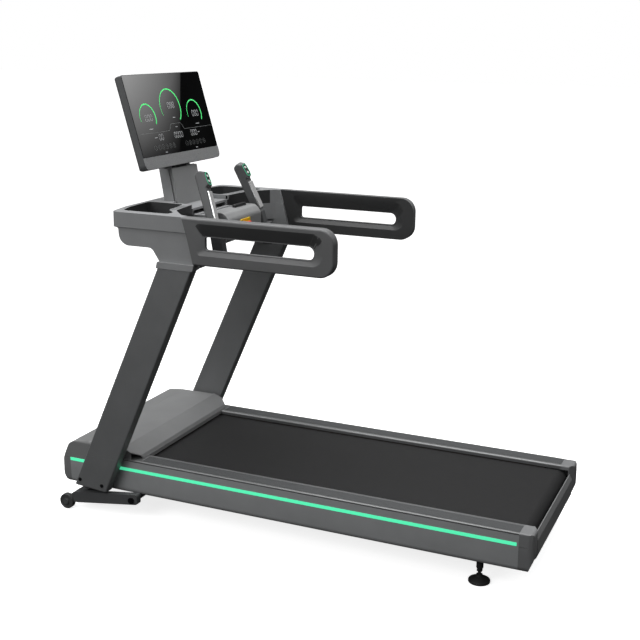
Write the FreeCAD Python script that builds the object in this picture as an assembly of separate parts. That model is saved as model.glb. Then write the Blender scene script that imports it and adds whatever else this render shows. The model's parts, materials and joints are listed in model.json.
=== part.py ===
import FreeCAD, Part

import math
import os

V = FreeCAD.Vector

# A commercial motorised treadmill.  Millimetres, +Z up, +Y is the way the runner faces,
# +X is the runner's right.  The origin is on the floor, under the middle of the machine.

# ---- driving dimensions -------------------------------------------------------------
LENGTH_HALF = 984.0            # rear cap to front cover, half
SIDE_X = 383.0                 # outer face of the side skins
RAIL_TOP = 248.0               # top of the foot rails
SKIN_BOTTOM = 98.0
BELT_HALF = 300.0              # half the running width
BELT_TOP = 228.0
BELT_T = 2.4
ROLLER_R = 40.0
FRONT_ROLLER_Y = 690.0
REAR_ROLLER_Y = -915.0
AXLE_R = 10.0
STRIP_Z = (199.0, 212.0)       # light strip along the side
SKIN_REAR_Y = -928.0
SKIN_FRONT_Y = 946.0
HOOD_TOP = 294.0
HOOD_REAR_Y = 700.0
HOOD_SPLIT_Z = 213.0
UPRIGHT_X = (390.0, 438.0)     # inner and outer face of an upright
UPRIGHT_SIDE = [(889, 122), (467, 1068), (322, 1067), (740, 111)]
CONSOLE_X = 430.0
CHEEK_IN = 387.0               # inner face of the covers round the upright tops
TRAY_Z = (1201.0, 1258.0)
COVER_BOTTOM = 1132.0
HANDRAIL_X = (398.0, 436.0)
HANDRAIL_REAR_Y = -240.0
DISPLAY_TILT = 16.4            # degrees back from vertical
DISPLAY_FOOT = (596.0, 1399.0) # lower front edge, y and z
DISPLAY_HALF = 290.0
DISPLAY_H = 367.0
DISPLAY_T = 38.0
LIFT_HINGE = (624.0, 97.0)     # y and z of the lift frame's pivot
LIFT_RANGE = 35.0              # degrees of travel
CRANK_R = 100.0
CRANK_REST = -20.0             # degrees, direction of the crank at rest
LIFT_STRUT = 250.0             # actuator length at mid travel
WHEEL_R = 32.0
WHEEL_Y = 945.0
FOOT_X = 315.0
FOOT_Y = -778.0
MOTOR_Y = 850.0
MOTOR_Z = 182.0
ROLLER_PULLEY_R = 42.0
MOTOR_PULLEY_R = 22.0
RUNNING = 0.05                 # radial clearance of a shaft in its bore
GAP = 0.3                      # between parts that move past each other
GRIP_SPLAY = 11.3              # degrees the grips lean in at the top
POWER_Z = 140.0                # height of the inlet, the switch and the breaker
INLET_X = 262.0
SWITCH_X = 212.0
BREAKER_X = 176.0

RAIL_X = (332.0, 362.0)        # steel side tubes
RAIL_Z = (122.0, 185.0)
TENSION_BOLT = (347.0, 177.5)  # x and z of a rear roller adjusting bolt
COLLAR_TOP = 1084.7
COLLAR_LIP = 1.5               # how far a collar stands out from its upright
MOUNT_Y = (778.0, 863.0)       # pads between the side tubes and the uprights

ROLLER_Z = BELT_TOP - BELT_T - GAP - ROLLER_R
# outside of a side skin from its lower edge up, x, z and corner radius
SKIN_CURVE = [(352, SKIN_BOTTOM, 6), (378, 103, 24), (SIDE_X, 168)]
PARTS = {}


# ---- small helpers ------------------------------------------------------------------
def add(name, *shapes):
    """Register one node: a solid, or a group of separate solids."""
    solids = [s for shape in shapes for s in shape.Solids]
    PARTS[name] = solids[0] if len(solids) == 1 else Part.makeCompound(solids)


def box(x, y, z):
    return Part.makeBox(x[1] - x[0], y[1] - y[0], z[1] - z[0], V(x[0], y[0], z[0]))


def rod(axis, centre, radius, low, high):
    """A cylinder along axis 'x', 'y' or 'z'; centre gives the other two coordinates."""
    a, b = centre
    place = {"x": (V(low, a, b), V(1, 0, 0)),
             "y": (V(a, low, b), V(0, 1, 0)),
             "z": (V(a, b, low), V(0, 0, 1))}[axis]
    return Part.makeCylinder(radius, high - low, place[0], place[1])


def outline(points, axis):
    """A closed wire through (a, b) or (a, b, corner radius) points, square to axis."""
    lift = {"x": lambda a, b: V(0, a, b),
            "y": lambda a, b: V(a, 0, b),
            "z": lambda a, b: V(a, b, 0)}[axis]
    corners = []
    count = len(points)
    for i, point in enumerate(points):
        here = V(point[0], point[1], 0)
        radius = point[2] if len(point) > 2 else 0
        if not radius:
            corners.append((here, None, here))
            continue
        back = V(*points[i - 1][:2], 0) - here
        ahead = V(*points[(i + 1) % count][:2], 0) - here
        half = back.getAngle(ahead) / 2
        reach = radius / math.tan(half)
        back.normalize()
        ahead.normalize()
        bisector = back + ahead
        bisector.normalize()
        centre = here + bisector * (radius / math.sin(half))
        corners.append((here + back * reach, centre - bisector * radius,
                        here + ahead * reach))
    edges = []
    for i, (start, middle, end) in enumerate(corners):
        if middle is not None:
            edges.append(Part.Arc(lift(start.x, start.y), lift(middle.x, middle.y),
                                  lift(end.x, end.y)).toShape())
        after = corners[(i + 1) % count][0]
        if (after - end).Length > 1e-6:
            edges.append(Part.makeLine(lift(end.x, end.y), lift(after.x, after.y)))
    return Part.Wire(edges)


def prism(points, axis, low, high):
    """Extrude an outline along axis, from low to high."""
    along = {"x": V(1, 0, 0), "y": V(0, 1, 0), "z": V(0, 0, 1)}[axis]
    face = Part.Face(outline(points, axis))
    solid = face.extrude(along * (high - low))
    solid.translate(along * low)
    return solid


def rounded(a, b, radius):
    """The four corners of a rectangle with rounded corners, for prism()."""
    return [(a[0], b[0], radius), (a[1], b[0], radius),
            (a[1], b[1], radius), (a[0], b[1], radius)]


def inset(points, by):
    """An outline moved inwards by a wall thickness, for convex outlines."""
    count = len(points)
    area = sum(points[i - 1][0] * points[i][1] - points[i][0] * points[i - 1][1]
               for i in range(count))
    turn = 1 if area > 0 else -1
    result = []
    for i, point in enumerate(points):
        before = points[i - 1]
        after = points[(i + 1) % count]
        d1 = V(point[0] - before[0], point[1] - before[1], 0).normalize()
        d2 = V(after[0] - point[0], after[1] - point[1], 0).normalize()
        n1 = V(-d1.y, d1.x, 0) * turn
        n2 = V(-d2.y, d2.x, 0) * turn
        scale = by / (1 + n1.dot(n2))
        moved = V(point[0], point[1], 0) + (n1 + n2) * scale
        radius = max(point[2] - by, 0) if len(point) > 2 else 0
        result.append((moved.x, moved.y, radius))
    return result


def fuse(*shapes):
    return shapes[0].fuse(list(shapes[1:])).removeSplitter()


def mirrored(shape):
    return shape.mirror(V(0, 0, 0), V(1, 0, 0))


def pair(shape):
    return [mirrored(shape), shape]


def turned(shape, degrees, y, z):
    """A copy turned about the X direction through (y, z)."""
    return shape.rotated(V(0, y, z), V(1, 0, 0), degrees)


# ---- running deck -------------------------------------------------------------------
def make_frame():
    rail = box(RAIL_X, (-945, 930), RAIL_Z)
    rail = rail.cut(box((RAIL_X[0] + 3, RAIL_X[1] - 3), (-942, 927),
                        (RAIL_Z[0] + 3, RAIL_Z[1] - 3)))
    rail = rail.cut(rod("y", TENSION_BOLT, 4, -950, -930))
    for y in (FRONT_ROLLER_Y, REAR_ROLLER_Y):
        slot = rod("x", (y, ROLLER_Z), AXLE_R + 0.1, 325, 368)
        throat = box((325, 368), (y - AXLE_R - 0.1, y + AXLE_R + 0.1), (ROLLER_Z, 190))
        rail = rail.cut(slot).cut(throat)
    boss = rod("x", LIFT_HINGE, 14, 320, 400)
    boss_bore = rod("x", LIFT_HINGE, 8, 319, 401)
    hanger = box((RAIL_X[0] + 4, RAIL_X[1] - 4), (LIFT_HINGE[0] - 20, LIFT_HINGE[0] + 20),
                 (LIFT_HINGE[1], RAIL_Z[0]))
    boss = fuse(boss, hanger)
    mount = box((RAIL_X[1], UPRIGHT_X[0]), MOUNT_Y, (124, 184))
    foot_boss = rod("z", (FOOT_X, FOOT_Y), 13, 56, 105)
    foot_plate = box((FOOT_X - 22, RAIL_X[0] + 12), (FOOT_Y - 28, FOOT_Y + 28), (101.3, 107))
    foot_plate = foot_plate.fuse(box((RAIL_X[0], RAIL_X[0] + 12), (FOOT_Y - 28, FOOT_Y + 28),
                                     (101.3, RAIL_Z[0])))
    foot_bracket = fuse(foot_boss, foot_plate).cut(rod("z", (FOOT_X, FOOT_Y), 6 + RUNNING, 50, 110))
    solids = []
    for piece in (rail, boss.cut(boss_bore), mount, foot_bracket):
        solids += pair(piece)
    span = (-RAIL_X[0], RAIL_X[0])
    for y in (-860, -310, 130, 560):
        member = box(span, (y, y + 40), (107, 137))
        member = member.cut(box(span, (y + 3, y + 37), (110, 134)))
        solids.append(member)
    front = box(span, (925, 955), (105, 140))
    front = front.cut(box(span, (928, 952), (108, 137)))
    solids.append(front)
    py, pz = strut_pivot()
    lug = prism([(925, 106), (925, 139), (py + 18, pz + 14, 10), (py - 16, pz + 14, 10),
                 (py - 16, pz - 20, 10), (900, 106)], "x", 38, 44)
    lug = lug.cut(rod("x", (py, pz), 8 + RUNNING, 30, 50))
    solids += pair(lug)
    tray = box((-284, -76), (790, 925), (107, 116))
    saddle = prism([(800, 116), (900, 116), (885, 150), (815, 150)], "x", -262, -250)
    saddle = fuse(saddle, saddle.translated(V(150, 0, 0)))
    saddle = saddle.cut(rod("x", (MOTOR_Y, MOTOR_Z), 58, -300, 0))
    solids.append(fuse(tray, *saddle.Solids))
    solids += pair(box((60, RAIL_X[0]), (760, 790), (107, 130)))
    add("base_frame", *solids)


def make_deck():
    deck_top = BELT_TOP - BELT_T - GAP
    add("deck_board", prism(rounded((-350, 350), (-862, 640), 6), "z", deck_top - 22, deck_top))
    pads = []
    for y in (-800, -420, -40, 340, 580):
        pad = prism(rounded((336, 350), (y - 30, y + 30), 4), "z", 185, deck_top - 22)
        pads += pair(pad)
    add("deck_cushions", *pads)


def belt_loop(y1, y2, z, radius, thickness, low, high):
    """A closed belt round two equal rollers."""
    def stadium(r):
        return prism([(y1 - r, z - r, r), (y2 + r, z - r, r),
                      (y2 + r, z + r, r), (y1 - r, z + r, r)], "x", low, high)
    return stadium(radius + thickness).cut(stadium(radius))


def make_belt_and_rollers():
    add("running_belt", belt_loop(REAR_ROLLER_Y, FRONT_ROLLER_Y, ROLLER_Z,
                                  ROLLER_R + GAP, BELT_T, -BELT_HALF, BELT_HALF))
    bearing_r = 20.0
    bearings = []
    axles = []
    for y in (FRONT_ROLLER_Y, REAR_ROLLER_Y):
        axles.append(rod("x", (y, ROLLER_Z), AXLE_R, -366, 366))
        ring = rod("x", (y, ROLLER_Z), bearing_r, 288, 302)
        bearings += pair(ring.cut(rod("x", (y, ROLLER_Z), AXLE_R, 280, 310)))
    add("roller_axles", *axles)
    add("roller_bearings", *bearings)

    def roller(y, pulley):
        body = rod("x", (y, ROLLER_Z), ROLLER_R, -304, 304)
        body = body.cut(rod("x", (y, ROLLER_Z), ROLLER_R - 6, -280, 280))
        body = body.cut(rod("x", (y, ROLLER_Z), bearing_r + RUNNING, 280, 310))
        body = body.cut(rod("x", (y, ROLLER_Z), bearing_r + RUNNING, -310, -280))
        if pulley:
            rim = rod("x", (y, ROLLER_Z), ROLLER_PULLEY_R, -330, -306)
            for x in (-326, -321, -316, -311):
                groove = rod("x", (y, ROLLER_Z), ROLLER_PULLEY_R + 1, x - 1, x + 1)
                rim = rim.cut(groove.cut(rod("x", (y, ROLLER_Z), ROLLER_PULLEY_R - 2, x - 1, x + 1)))
            hub = rod("x", (y, ROLLER_Z), 30, -306, -304)
            body = fuse(body, rim, hub)
            body = body.cut(rod("x", (y, ROLLER_Z), bearing_r + RUNNING, -340, -280))
        return body

    add("front_roller", roller(FRONT_ROLLER_Y, True))
    add("rear_roller", roller(REAR_ROLLER_Y, False))


def make_foot_rails():
    """Side platforms: an extruded rail each side, with a grip insert let into its top."""
    outer = [(300, 231), (300, RAIL_TOP, 6), (SIDE_X, RAIL_TOP, 4), (SIDE_X, 240.5),
             (SIDE_X - 3, 240.5), (SIDE_X - 3, RAIL_TOP - 4), (349, RAIL_TOP - 4),
             (349, BELT_TOP - BELT_T - GAP), (345, BELT_TOP - BELT_T - GAP),
             (345, RAIL_TOP - 4), (304, RAIL_TOP - 4), (304, 231)]
    rail = prism(outer, "y", SKIN_REAR_Y, HOOD_REAR_Y - GAP)
    insert_x = (318, 372)
    recess = box(insert_x, (SKIN_REAR_Y, 602), (RAIL_TOP - 2, RAIL_TOP + 1))
    rail = rail.cut(recess)
    add("foot_rails", *pair(rail))
    insert = box(insert_x, (SKIN_REAR_Y, 602), (RAIL_TOP - 2, RAIL_TOP + 0.6))
    add("rail_inserts", *pair(insert))


def make_side_skins():
    wall = 3.0
    points = [(SIDE_X - wall, 240), (SIDE_X - wall, 168), (375.2, 105.5, 21),
              (351.7, SKIN_BOTTOM + wall, 3), (328, SKIN_BOTTOM + wall), (328, SKIN_BOTTOM),
              *SKIN_CURVE, (SIDE_X, 240)]
    skin = prism(points, "y", SKIN_REAR_Y, SKIN_FRONT_Y)
    skin = skin.cut(box((360, 390), (HOOD_REAR_Y - GAP, 1000), (HOOD_SPLIT_Z, 260)))
    skin = skin.cut(box((360, 390), (MOUNT_Y[0] - GAP, MOUNT_Y[1] + GAP), (123.7, 184.3)))
    skin = skin.cut(rod("x", LIFT_HINGE, 14.3, 310, 401))
    skin = skin.cut(box((320, RAIL_X[1] - 3.7), (LIFT_HINGE[0] - 20.3, LIFT_HINGE[0] + 20.3), (90, 110)))
    skin = skin.cut(box((320, 331), (FOOT_Y - 14, FOOT_Y + 14), (90, 110)))
    groove = box((SIDE_X - 1.2, SIDE_X + 1), (-921, SKIN_FRONT_Y - 1), STRIP_Z)
    skin = skin.cut(groove)
    add("side_skins", *pair(skin))
    strip = box((SIDE_X - 1.2, SIDE_X + 0.8), (-921, SKIN_FRONT_Y - 1), STRIP_Z)
    add("light_strips", *pair(strip))


def make_rear_end():
    side = [(SKIN_REAR_Y, RAIL_TOP), (-980, RAIL_TOP, 12), (-LENGTH_HALF, 190),
            (-LENGTH_HALF, 160, 70), (-962, SKIN_BOTTOM, 18), (SKIN_REAR_Y, SKIN_BOTTOM)]
    plan = [(300, SKIN_REAR_Y), (SIDE_X, SKIN_REAR_Y), (SIDE_X, -LENGTH_HALF, 28),
            (334, -LENGTH_HALF, 30), (300, -962, 6)]
    section = [(300, SKIN_BOTTOM), *SKIN_CURVE, (SIDE_X, RAIL_TOP, 6), (300, RAIL_TOP, 6)]
    outer = prism(side, "x", 295, 390).common(prism(plan, "z", 90, 260))
    outer = outer.common(prism(section, "y", -990, -900))
    hollow = box((312, SIDE_X - 6), (SKIN_REAR_Y - 34, SKIN_REAR_Y), (118, RAIL_TOP - 10))
    cap = outer.cut(hollow)
    cap = cap.cut(box((295, 380), (-970, SKIN_REAR_Y + 1), (ROLLER_Z - 54, BELT_TOP + 3))
                  .common(box((295, 366.5), (-960, -900), (100, 240))))
    cap = cap.cut(box((380, 390), (-LENGTH_HALF, -900), (STRIP_Z[0] - 3, STRIP_Z[0] - 1.5)))
    add("rear_caps", *pair(cap))
    guard = [(-963, 214), (-967, 218, 2), (-978, 196, 14), (-979, 130, 26), (-955, 103, 6),
             (-940, 103), (-940, 106), (-954, 106, 4), (-975.5, 131, 23), (-974.6, 195, 11)]
    add("rear_guard", prism(guard, "x", -299.7, 299.7))


# ---- motor bay ----------------------------------------------------------------------
def bay_shell(low, high, wall):
    """The rounded shape shared by the hood and the front cover, hollow, cut to a height."""
    def solid(by, rear):
        nose_y = LENGTH_HALF + 2.4
        profile = [(rear, SKIN_BOTTOM), (rear, HOOD_TOP), (850, HOOD_TOP, 80), (948, 280, 40),
                   (nose_y, 190, 50), (nose_y - 3, 140, 50), (966, SKIN_BOTTOM, 20)]
        half = SKIN_CURVE + [(SIDE_X, HOOD_TOP + 1, 14)]
        section = half + [(-a, *rest) for a, *rest in reversed(half)]
        plan = [(-SIDE_X, rear), (SIDE_X, rear), (SIDE_X, nose_y + 1, 16),
                (-SIDE_X, nose_y + 1, 16)]
        body = prism(inset(profile, by), "x", -400, 400)
        body = body.common(prism(inset(section, by), "y", rear - 50, 1000))
        return body.common(prism(inset(plan, by), "z", 60, 320))

    shell = solid(0.0, HOOD_REAR_Y).cut(solid(wall, HOOD_REAR_Y - 40))
    return shell.common(box((-400, 400), (HOOD_REAR_Y, 1000), (low, high)))


def make_motor_bay():
    hood = bay_shell(HOOD_SPLIT_Z, 320, 3.0)
    add("hood_cover", hood)
    front = bay_shell(SKIN_BOTTOM, HOOD_SPLIT_Z - 1.0, 3.0)
    front = front.common(box((-400, 400), (SKIN_FRONT_Y + 0.3, 1000), (90, 220)))
    for x, wide, tall in ((INLET_X, 28, 24), (SWITCH_X, 14, 22), (BREAKER_X, 9, 18)):
        front = front.cut(box((x - wide / 2, x + wide / 2), (940, 1000),
                              (POWER_Z - tall / 2, POWER_Z + tall / 2)))
    add("front_cover", front)
    front_y = HOOD_REAR_Y - GAP
    trim_x = SIDE_X - 2.0
    trim = [(614, 249), (622, 263, 9), (688, HOOD_TOP + 1, 8), (front_y, HOOD_TOP + 1),
            (front_y, 291.4), (688.6, 291.4, 5), (624.6, 260.4, 6), (618, 249)]
    bar = prism(trim, "x", -trim_x, trim_x)
    ends = [(-trim_x, 200), (trim_x, 200), (trim_x, HOOD_TOP + 1, 14), (-trim_x, HOOD_TOP + 1, 14)]
    bar = bar.common(prism(ends, "y", 600, 720))
    cheek = prism([(657, 249), (657, 278), (689, 293, 4), (front_y, 293), (front_y, 249)],
                  "x", trim_x - 12, trim_x)
    lip = box((-299.5, 299.5), (614.5, 617.5), (234, 251))
    corner = prism([(330, 600), (400, 676), (400, 600)], "z", 200, 320)
    body = fuse(bar, lip, cheek, mirrored(cheek))
    add("hood_trim", body.cut(corner).cut(mirrored(corner)))
    pan = box((-327.5, 327.5), (800, 944), (SKIN_BOTTOM, SKIN_BOTTOM + 3))
    actuator_opening = box((-38, 38), (790, 850), (SKIN_BOTTOM - 1, SKIN_BOTTOM + 4))
    add("base_pan", pan.cut(actuator_opening))


def make_drive():
    y, z = MOTOR_Y, MOTOR_Z
    case = rod("x", (y, z), 58, -284, -76)
    case = case.cut(rod("x", (y, z), 50, -270, -90))
    case = case.cut(rod("x", (y, z), AXLE_R + RUNNING, -300, -60))
    for i in range(18):
        fin = box((-262, -98), (-1.5, 1.5), (54, 59)).rotated(V(0, 0, 0), V(1, 0, 0), i * 20)
        fin.translate(V(0, y, z))
        case = case.cut(fin)
    case = fuse(case, box((-220, -140), (y - 30, y + 30), (z + 52, z + 74)).cut(
        rod("x", (y, z), 57, -230, -130)))
    add("drive_motor", case)
    rotor = fuse(rod("x", (y, z), AXLE_R, -332, -58), rod("x", (y, z), 42, -255, -105),
                 rod("x", (y, z), MOTOR_PULLEY_R, -331, -305))
    for x in (-326, -321, -316, -311):
        groove = rod("x", (y, z), MOTOR_PULLEY_R + 1, x - 1, x + 1)
        rotor = rotor.cut(groove.cut(rod("x", (y, z), MOTOR_PULLEY_R - 2, x - 1, x + 1)))
    fan = rod("x", (y, z), 40, -70, -66)
    for i in range(9):
        blade = box((-73, -70), (-1, 1), (12, 39)).rotated(V(0, 0, 0), V(1, 0, 0), i * 40)
        blade.translate(V(0, y, z))
        fan = fan.fuse(blade)
    add("motor_rotor", fuse(rotor, fan))
    add("drive_belt", tapered_loop())
    body = box((128, 312), (796, 918), (134, 234))
    for i in range(12):
        body = body.cut(box((136 + 14 * i, 143 + 14 * i), (790, 925), (214, 240)))
    legs = [box((x, x + 16), (y, y + 16), (SKIN_BOTTOM + 3, 140))
            for x in (134, 290) for y in (802, 896)]
    add("motor_controller", fuse(body, *legs))


def tapered_loop():
    """The ribbed drive belt round the roller pulley and the smaller motor pulley."""
    y1, z1, r1 = FRONT_ROLLER_Y, ROLLER_Z, ROLLER_PULLEY_R
    y2, z2, r2 = MOTOR_Y, MOTOR_Z, MOTOR_PULLEY_R
    run = math.hypot(y2 - y1, z2 - z1)
    tilt = math.atan2(z2 - z1, y2 - y1)
    lean = math.acos((r1 - r2) / run)

    def loop(extra):
        big, small = r1 + extra, r2 + extra

        def on(y, z, r, angle):
            return V(0, y + r * math.cos(angle), z + r * math.sin(angle))
        up, down = tilt + lean, tilt - lean
        a, b = on(y1, z1, big, up), on(y2, z2, small, up)
        c, d = on(y2, z2, small, down), on(y1, z1, big, down)
        far = on(y2, z2, small, tilt)
        near = on(y1, z1, big, tilt + math.pi)
        edges = [Part.makeLine(a, b), Part.Arc(b, far, c).toShape(),
                 Part.makeLine(c, d), Part.Arc(d, near, a).toShape()]
        return Part.Face(Part.Wire(edges)).extrude(V(20, 0, 0)).translated(V(-328, 0, 0))

    return loop(GAP + 3.0).cut(loop(GAP))


# ---- lift ---------------------------------------------------------------------------
def crank_pin(travel):
    """Where the crank's pin is after the lift frame has turned by travel degrees."""
    angle = math.radians(CRANK_REST - travel)
    return (LIFT_HINGE[0] + CRANK_R * math.cos(angle), LIFT_HINGE[1] + CRANK_R * math.sin(angle))


def strut_direction():
    """The actuator stands square to the crank at mid travel."""
    angle = math.radians(CRANK_REST - LIFT_RANGE / 2 + 90)
    return math.cos(angle), math.sin(angle)


def strut_pivot():
    y, z = crank_pin(LIFT_RANGE / 2)
    dy, dz = strut_direction()
    return y + LIFT_STRUT * dy, z + LIFT_STRUT * dz


def make_lift():
    hy, hz = LIFT_HINGE
    arm = prism([(598, 82, 8), (883, 41, 6), (905, 40, 6), (905, 84, 8), (862, 89),
                 (598, 124, 8)], "x", 402, 430)
    arm = arm.cut(prism([(604, 86), (880, 46), (899, 46), (899, 79), (604, 117)],
                        "x", 405, 427).cut(rod("x", LIFT_HINGE, 15, 400, 432)))
    arm = arm.cut(rod("x", LIFT_HINGE, 8 + RUNNING, 395, 435))
    plate = prism([(872, 42, 4), (930, 20, 8), (WHEEL_Y + 12, 18, 10), (WHEEL_Y + 12, 44, 10),
                   (905, 82, 6), (872, 82, 4)], "x", 386, 396)
    axle = rod("x", (WHEEL_Y, WHEEL_R), 7, 380, 430)
    axle_cap = rod("x", (WHEEL_Y, WHEEL_R), 11, 426.4, 430)
    front_tube = box((-402, 402), (868, 904), (44, 82)).cut(box((-403, 403), (871, 901), (47, 79)))
    torsion = rod("x", (660, 79), 15, -402, 402).cut(rod("x", (660, 79), 12, -403, 403))
    qy, qz = crank_pin(0)
    crank = prism([(655, 64, 6), (qy + 2, qz - 14, 12), (qy + 14, qz, 12), (qy + 2, qz + 14, 12),
                   (662, 94, 6)], "x", 17, 23)
    crank = crank.cut(rod("x", (660, 79), 14, 10, 30))
    pin = rod("x", (qy, qz), 6, -27, 27)
    pin_head = rod("x", (qy, qz), 9, 23, 27)
    frame = fuse(front_tube, torsion, pin)
    for piece in (arm, plate, axle, axle_cap, crank, pin_head):
        frame = fuse(frame, *pair(piece))
    add("lift_frame", frame)

    def wheel():
        body = rod("x", (WHEEL_Y, WHEEL_R), WHEEL_R, 404, 426)
        groove = rod("x", (WHEEL_Y, WHEEL_R), 25, 403, 406).fuse(
            rod("x", (WHEEL_Y, WHEEL_R), 25, 424, 427))
        body = body.cut(groove.cut(rod("x", (WHEEL_Y, WHEEL_R), 13, 400, 430)))
        body = body.cut(rod("x", (WHEEL_Y, WHEEL_R), 7 + RUNNING, 400, 430))
        body = body.cut(rod("x", (WHEEL_Y, WHEEL_R), 11.3, 426.1 - 0.3, 430))
        rims = [e for e in body.Edges if e.BoundBox.XLength < 0.01
                and abs(e.BoundBox.ZLength - 2 * WHEEL_R) < 0.1]
        return body.makeFillet(3.0, rims)

    one = wheel()
    add("wheel_right", one)
    add("wheel_left", mirrored(one))

    py, pz = strut_pivot()
    lean = math.degrees(math.atan2(qz - pz, qy - py)) + 90.0
    length = math.hypot(qy - py, qz - pz)

    def along(shape):
        return turned(shape, lean, py, pz)

    gearbox = prism(rounded((py - 26, py + 72), (pz - 34, pz + 16), 8), "x", -32, 32)
    sleeve = rod("z", (0, py), 24, pz - 150, pz - 30)
    motor = rod("z", (0, py + 50), 24, pz - 112, pz - 34)
    trunnion = rod("x", (py, pz), 8, -46, 46)
    lift_motor = fuse(gearbox, sleeve, motor, trunnion)
    bore = rod("z", (0, py), 13 + RUNNING, pz - 151, pz - 22)
    add("lift_motor", along(lift_motor.cut(bore)))
    screw = rod("z", (0, py), 13, pz - length + 16, pz - 72)
    eye = prism(rounded((py - 15, py + 15), (pz - length - 14, pz - length + 22), 12), "x", -14, 14)
    slot = prism([(py - 12, pz - length - 6.6, 6.59), (py + 12, pz - length - 6.6, 6.59),
                  (py + 12, pz - length + 6.6, 6.59), (py - 12, pz - length + 6.6, 6.59)], "x", -20, 20)
    add("lift_screw", along(fuse(screw, eye).cut(slot)))


def make_fasteners():
    bolts = []
    for y, z in ((861, 150), (757, 139)):
        head = prism([(y - 8, z), (y - 4, z + 6.9), (y + 4, z + 6.9), (y + 8, z),
                      (y + 4, z - 6.9), (y - 4, z - 6.9)], "x", UPRIGHT_X[1], UPRIGHT_X[1] + 2.5)
        bolts += pair(head)
    pivot = fuse(rod("x", LIFT_HINGE, 8, 320, 430.4), rod("x", LIFT_HINGE, 13, 430.4, 436))
    bolts += pair(pivot)
    tension = fuse(rod("y", TENSION_BOLT, 4, -952, -924), rod("y", TENSION_BOLT, 7, -956, -952))
    bolts += pair(tension)
    add("frame_bolts", *bolts)


def make_feet_and_power():
    stem = rod("z", (FOOT_X, FOOT_Y), 6, 18, 100)
    profile = [(0, 0), (40, 0, 3), (40, 9, 4), (20, 20, 10), (12, 22, 3), (12, 30), (0, 30)]
    pad = Part.Face(outline(profile, "y")).revolve(V(0, 0, 0), V(0, 0, 1), 360)
    pad.translate(V(FOOT_X, FOOT_Y, 0))
    nut = prism([(FOOT_X + 11 * math.cos(math.radians(60 * i)),
                  FOOT_Y + 11 * math.sin(math.radians(60 * i))) for i in range(6)], "z", 42, 52)
    foot = fuse(pad, stem, nut)
    add("rear_foot_right", foot)
    add("rear_foot_left", mirrored(foot))

    inlet = box((INLET_X - 13.7, INLET_X + 13.7), (961, 985.5), (POWER_Z - 11.7, POWER_Z + 11.7))
    inlet = inlet.cut(box((INLET_X - 11, INLET_X + 11), (966, 990), (POWER_Z - 8.5, POWER_Z + 8.5)))
    for x in (INLET_X - 6, INLET_X, INLET_X + 6):
        inlet = inlet.fuse(box((x - 1, x + 1), (965, 979), (POWER_Z - 3, POWER_Z + 3)))
    add("power_inlet", inlet.removeSplitter())
    rocker = prism([(979, 130.5), (986, 131.5, 2), (984, 140), (986, 148.5, 2),
                    (979, 149.5), (969, 140)], "x", SWITCH_X - 6.3, SWITCH_X + 6.3)
    rocker_pin = rod("x", (976.5, POWER_Z), 2.0, SWITCH_X - 6.9, SWITCH_X + 6.9)
    add("power_switch", fuse(rocker, rocker_pin))
    button = fuse(rod("y", (BREAKER_X, POWER_Z), 4.0, 965, 986),
                  rod("y", (BREAKER_X, POWER_Z), 7, 961, 965))
    add("breaker_button", button)


# ---- uprights and console -----------------------------------------------------------
def make_uprights():
    outer = [(y, z, 4) for y, z in UPRIGHT_SIDE]
    tube = prism(outer, "x", *UPRIGHT_X)
    long_edges = [e for e in tube.Edges if e.BoundBox.XLength < 0.01 and e.Length > 500]
    tube = tube.makeFillet(6.0, long_edges)
    core = prism(inset(UPRIGHT_SIDE, 3.0), "x", UPRIGHT_X[0] + 3, UPRIGHT_X[1] - 3)
    tube = tube.cut(core)
    groove = box((UPRIGHT_X[1] - 0.8, UPRIGHT_X[1] + 1), (600, 900), (258, 259.2))
    tube = tube.cut(groove)
    add("upright_right", tube)
    add("upright_left", mirrored(tube))
    collar = prism([(476, 1060, 3), (470, COLLAR_TOP, 3), (314, COLLAR_TOP, 3), (320, 1060, 3)],
                   "x", UPRIGHT_X[0] - COLLAR_LIP, UPRIGHT_X[1] + COLLAR_LIP)
    hole = prism(UPRIGHT_SIDE, "x", UPRIGHT_X[0], UPRIGHT_X[1])
    add("upright_collars", *pair(collar.cut(hole)))


def console_plan(grow):
    """Plan outline of the console: bowed front, swept-in rear corners."""
    x = CONSOLE_X + grow
    half = [(x, 366, 0), (x, 668 + grow, 26), (300, 690 + grow, 300), (100, 692 + grow, 200)]
    rear = [(140, 486, 20), (300, 466, 60), (386, 392, 50), (392, 366, 0)]
    left = [(-a, b, r) for a, b, r in reversed(half)]
    return half + left + [(-a, b, r) for a, b, r in reversed(rear)] + rear


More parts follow.
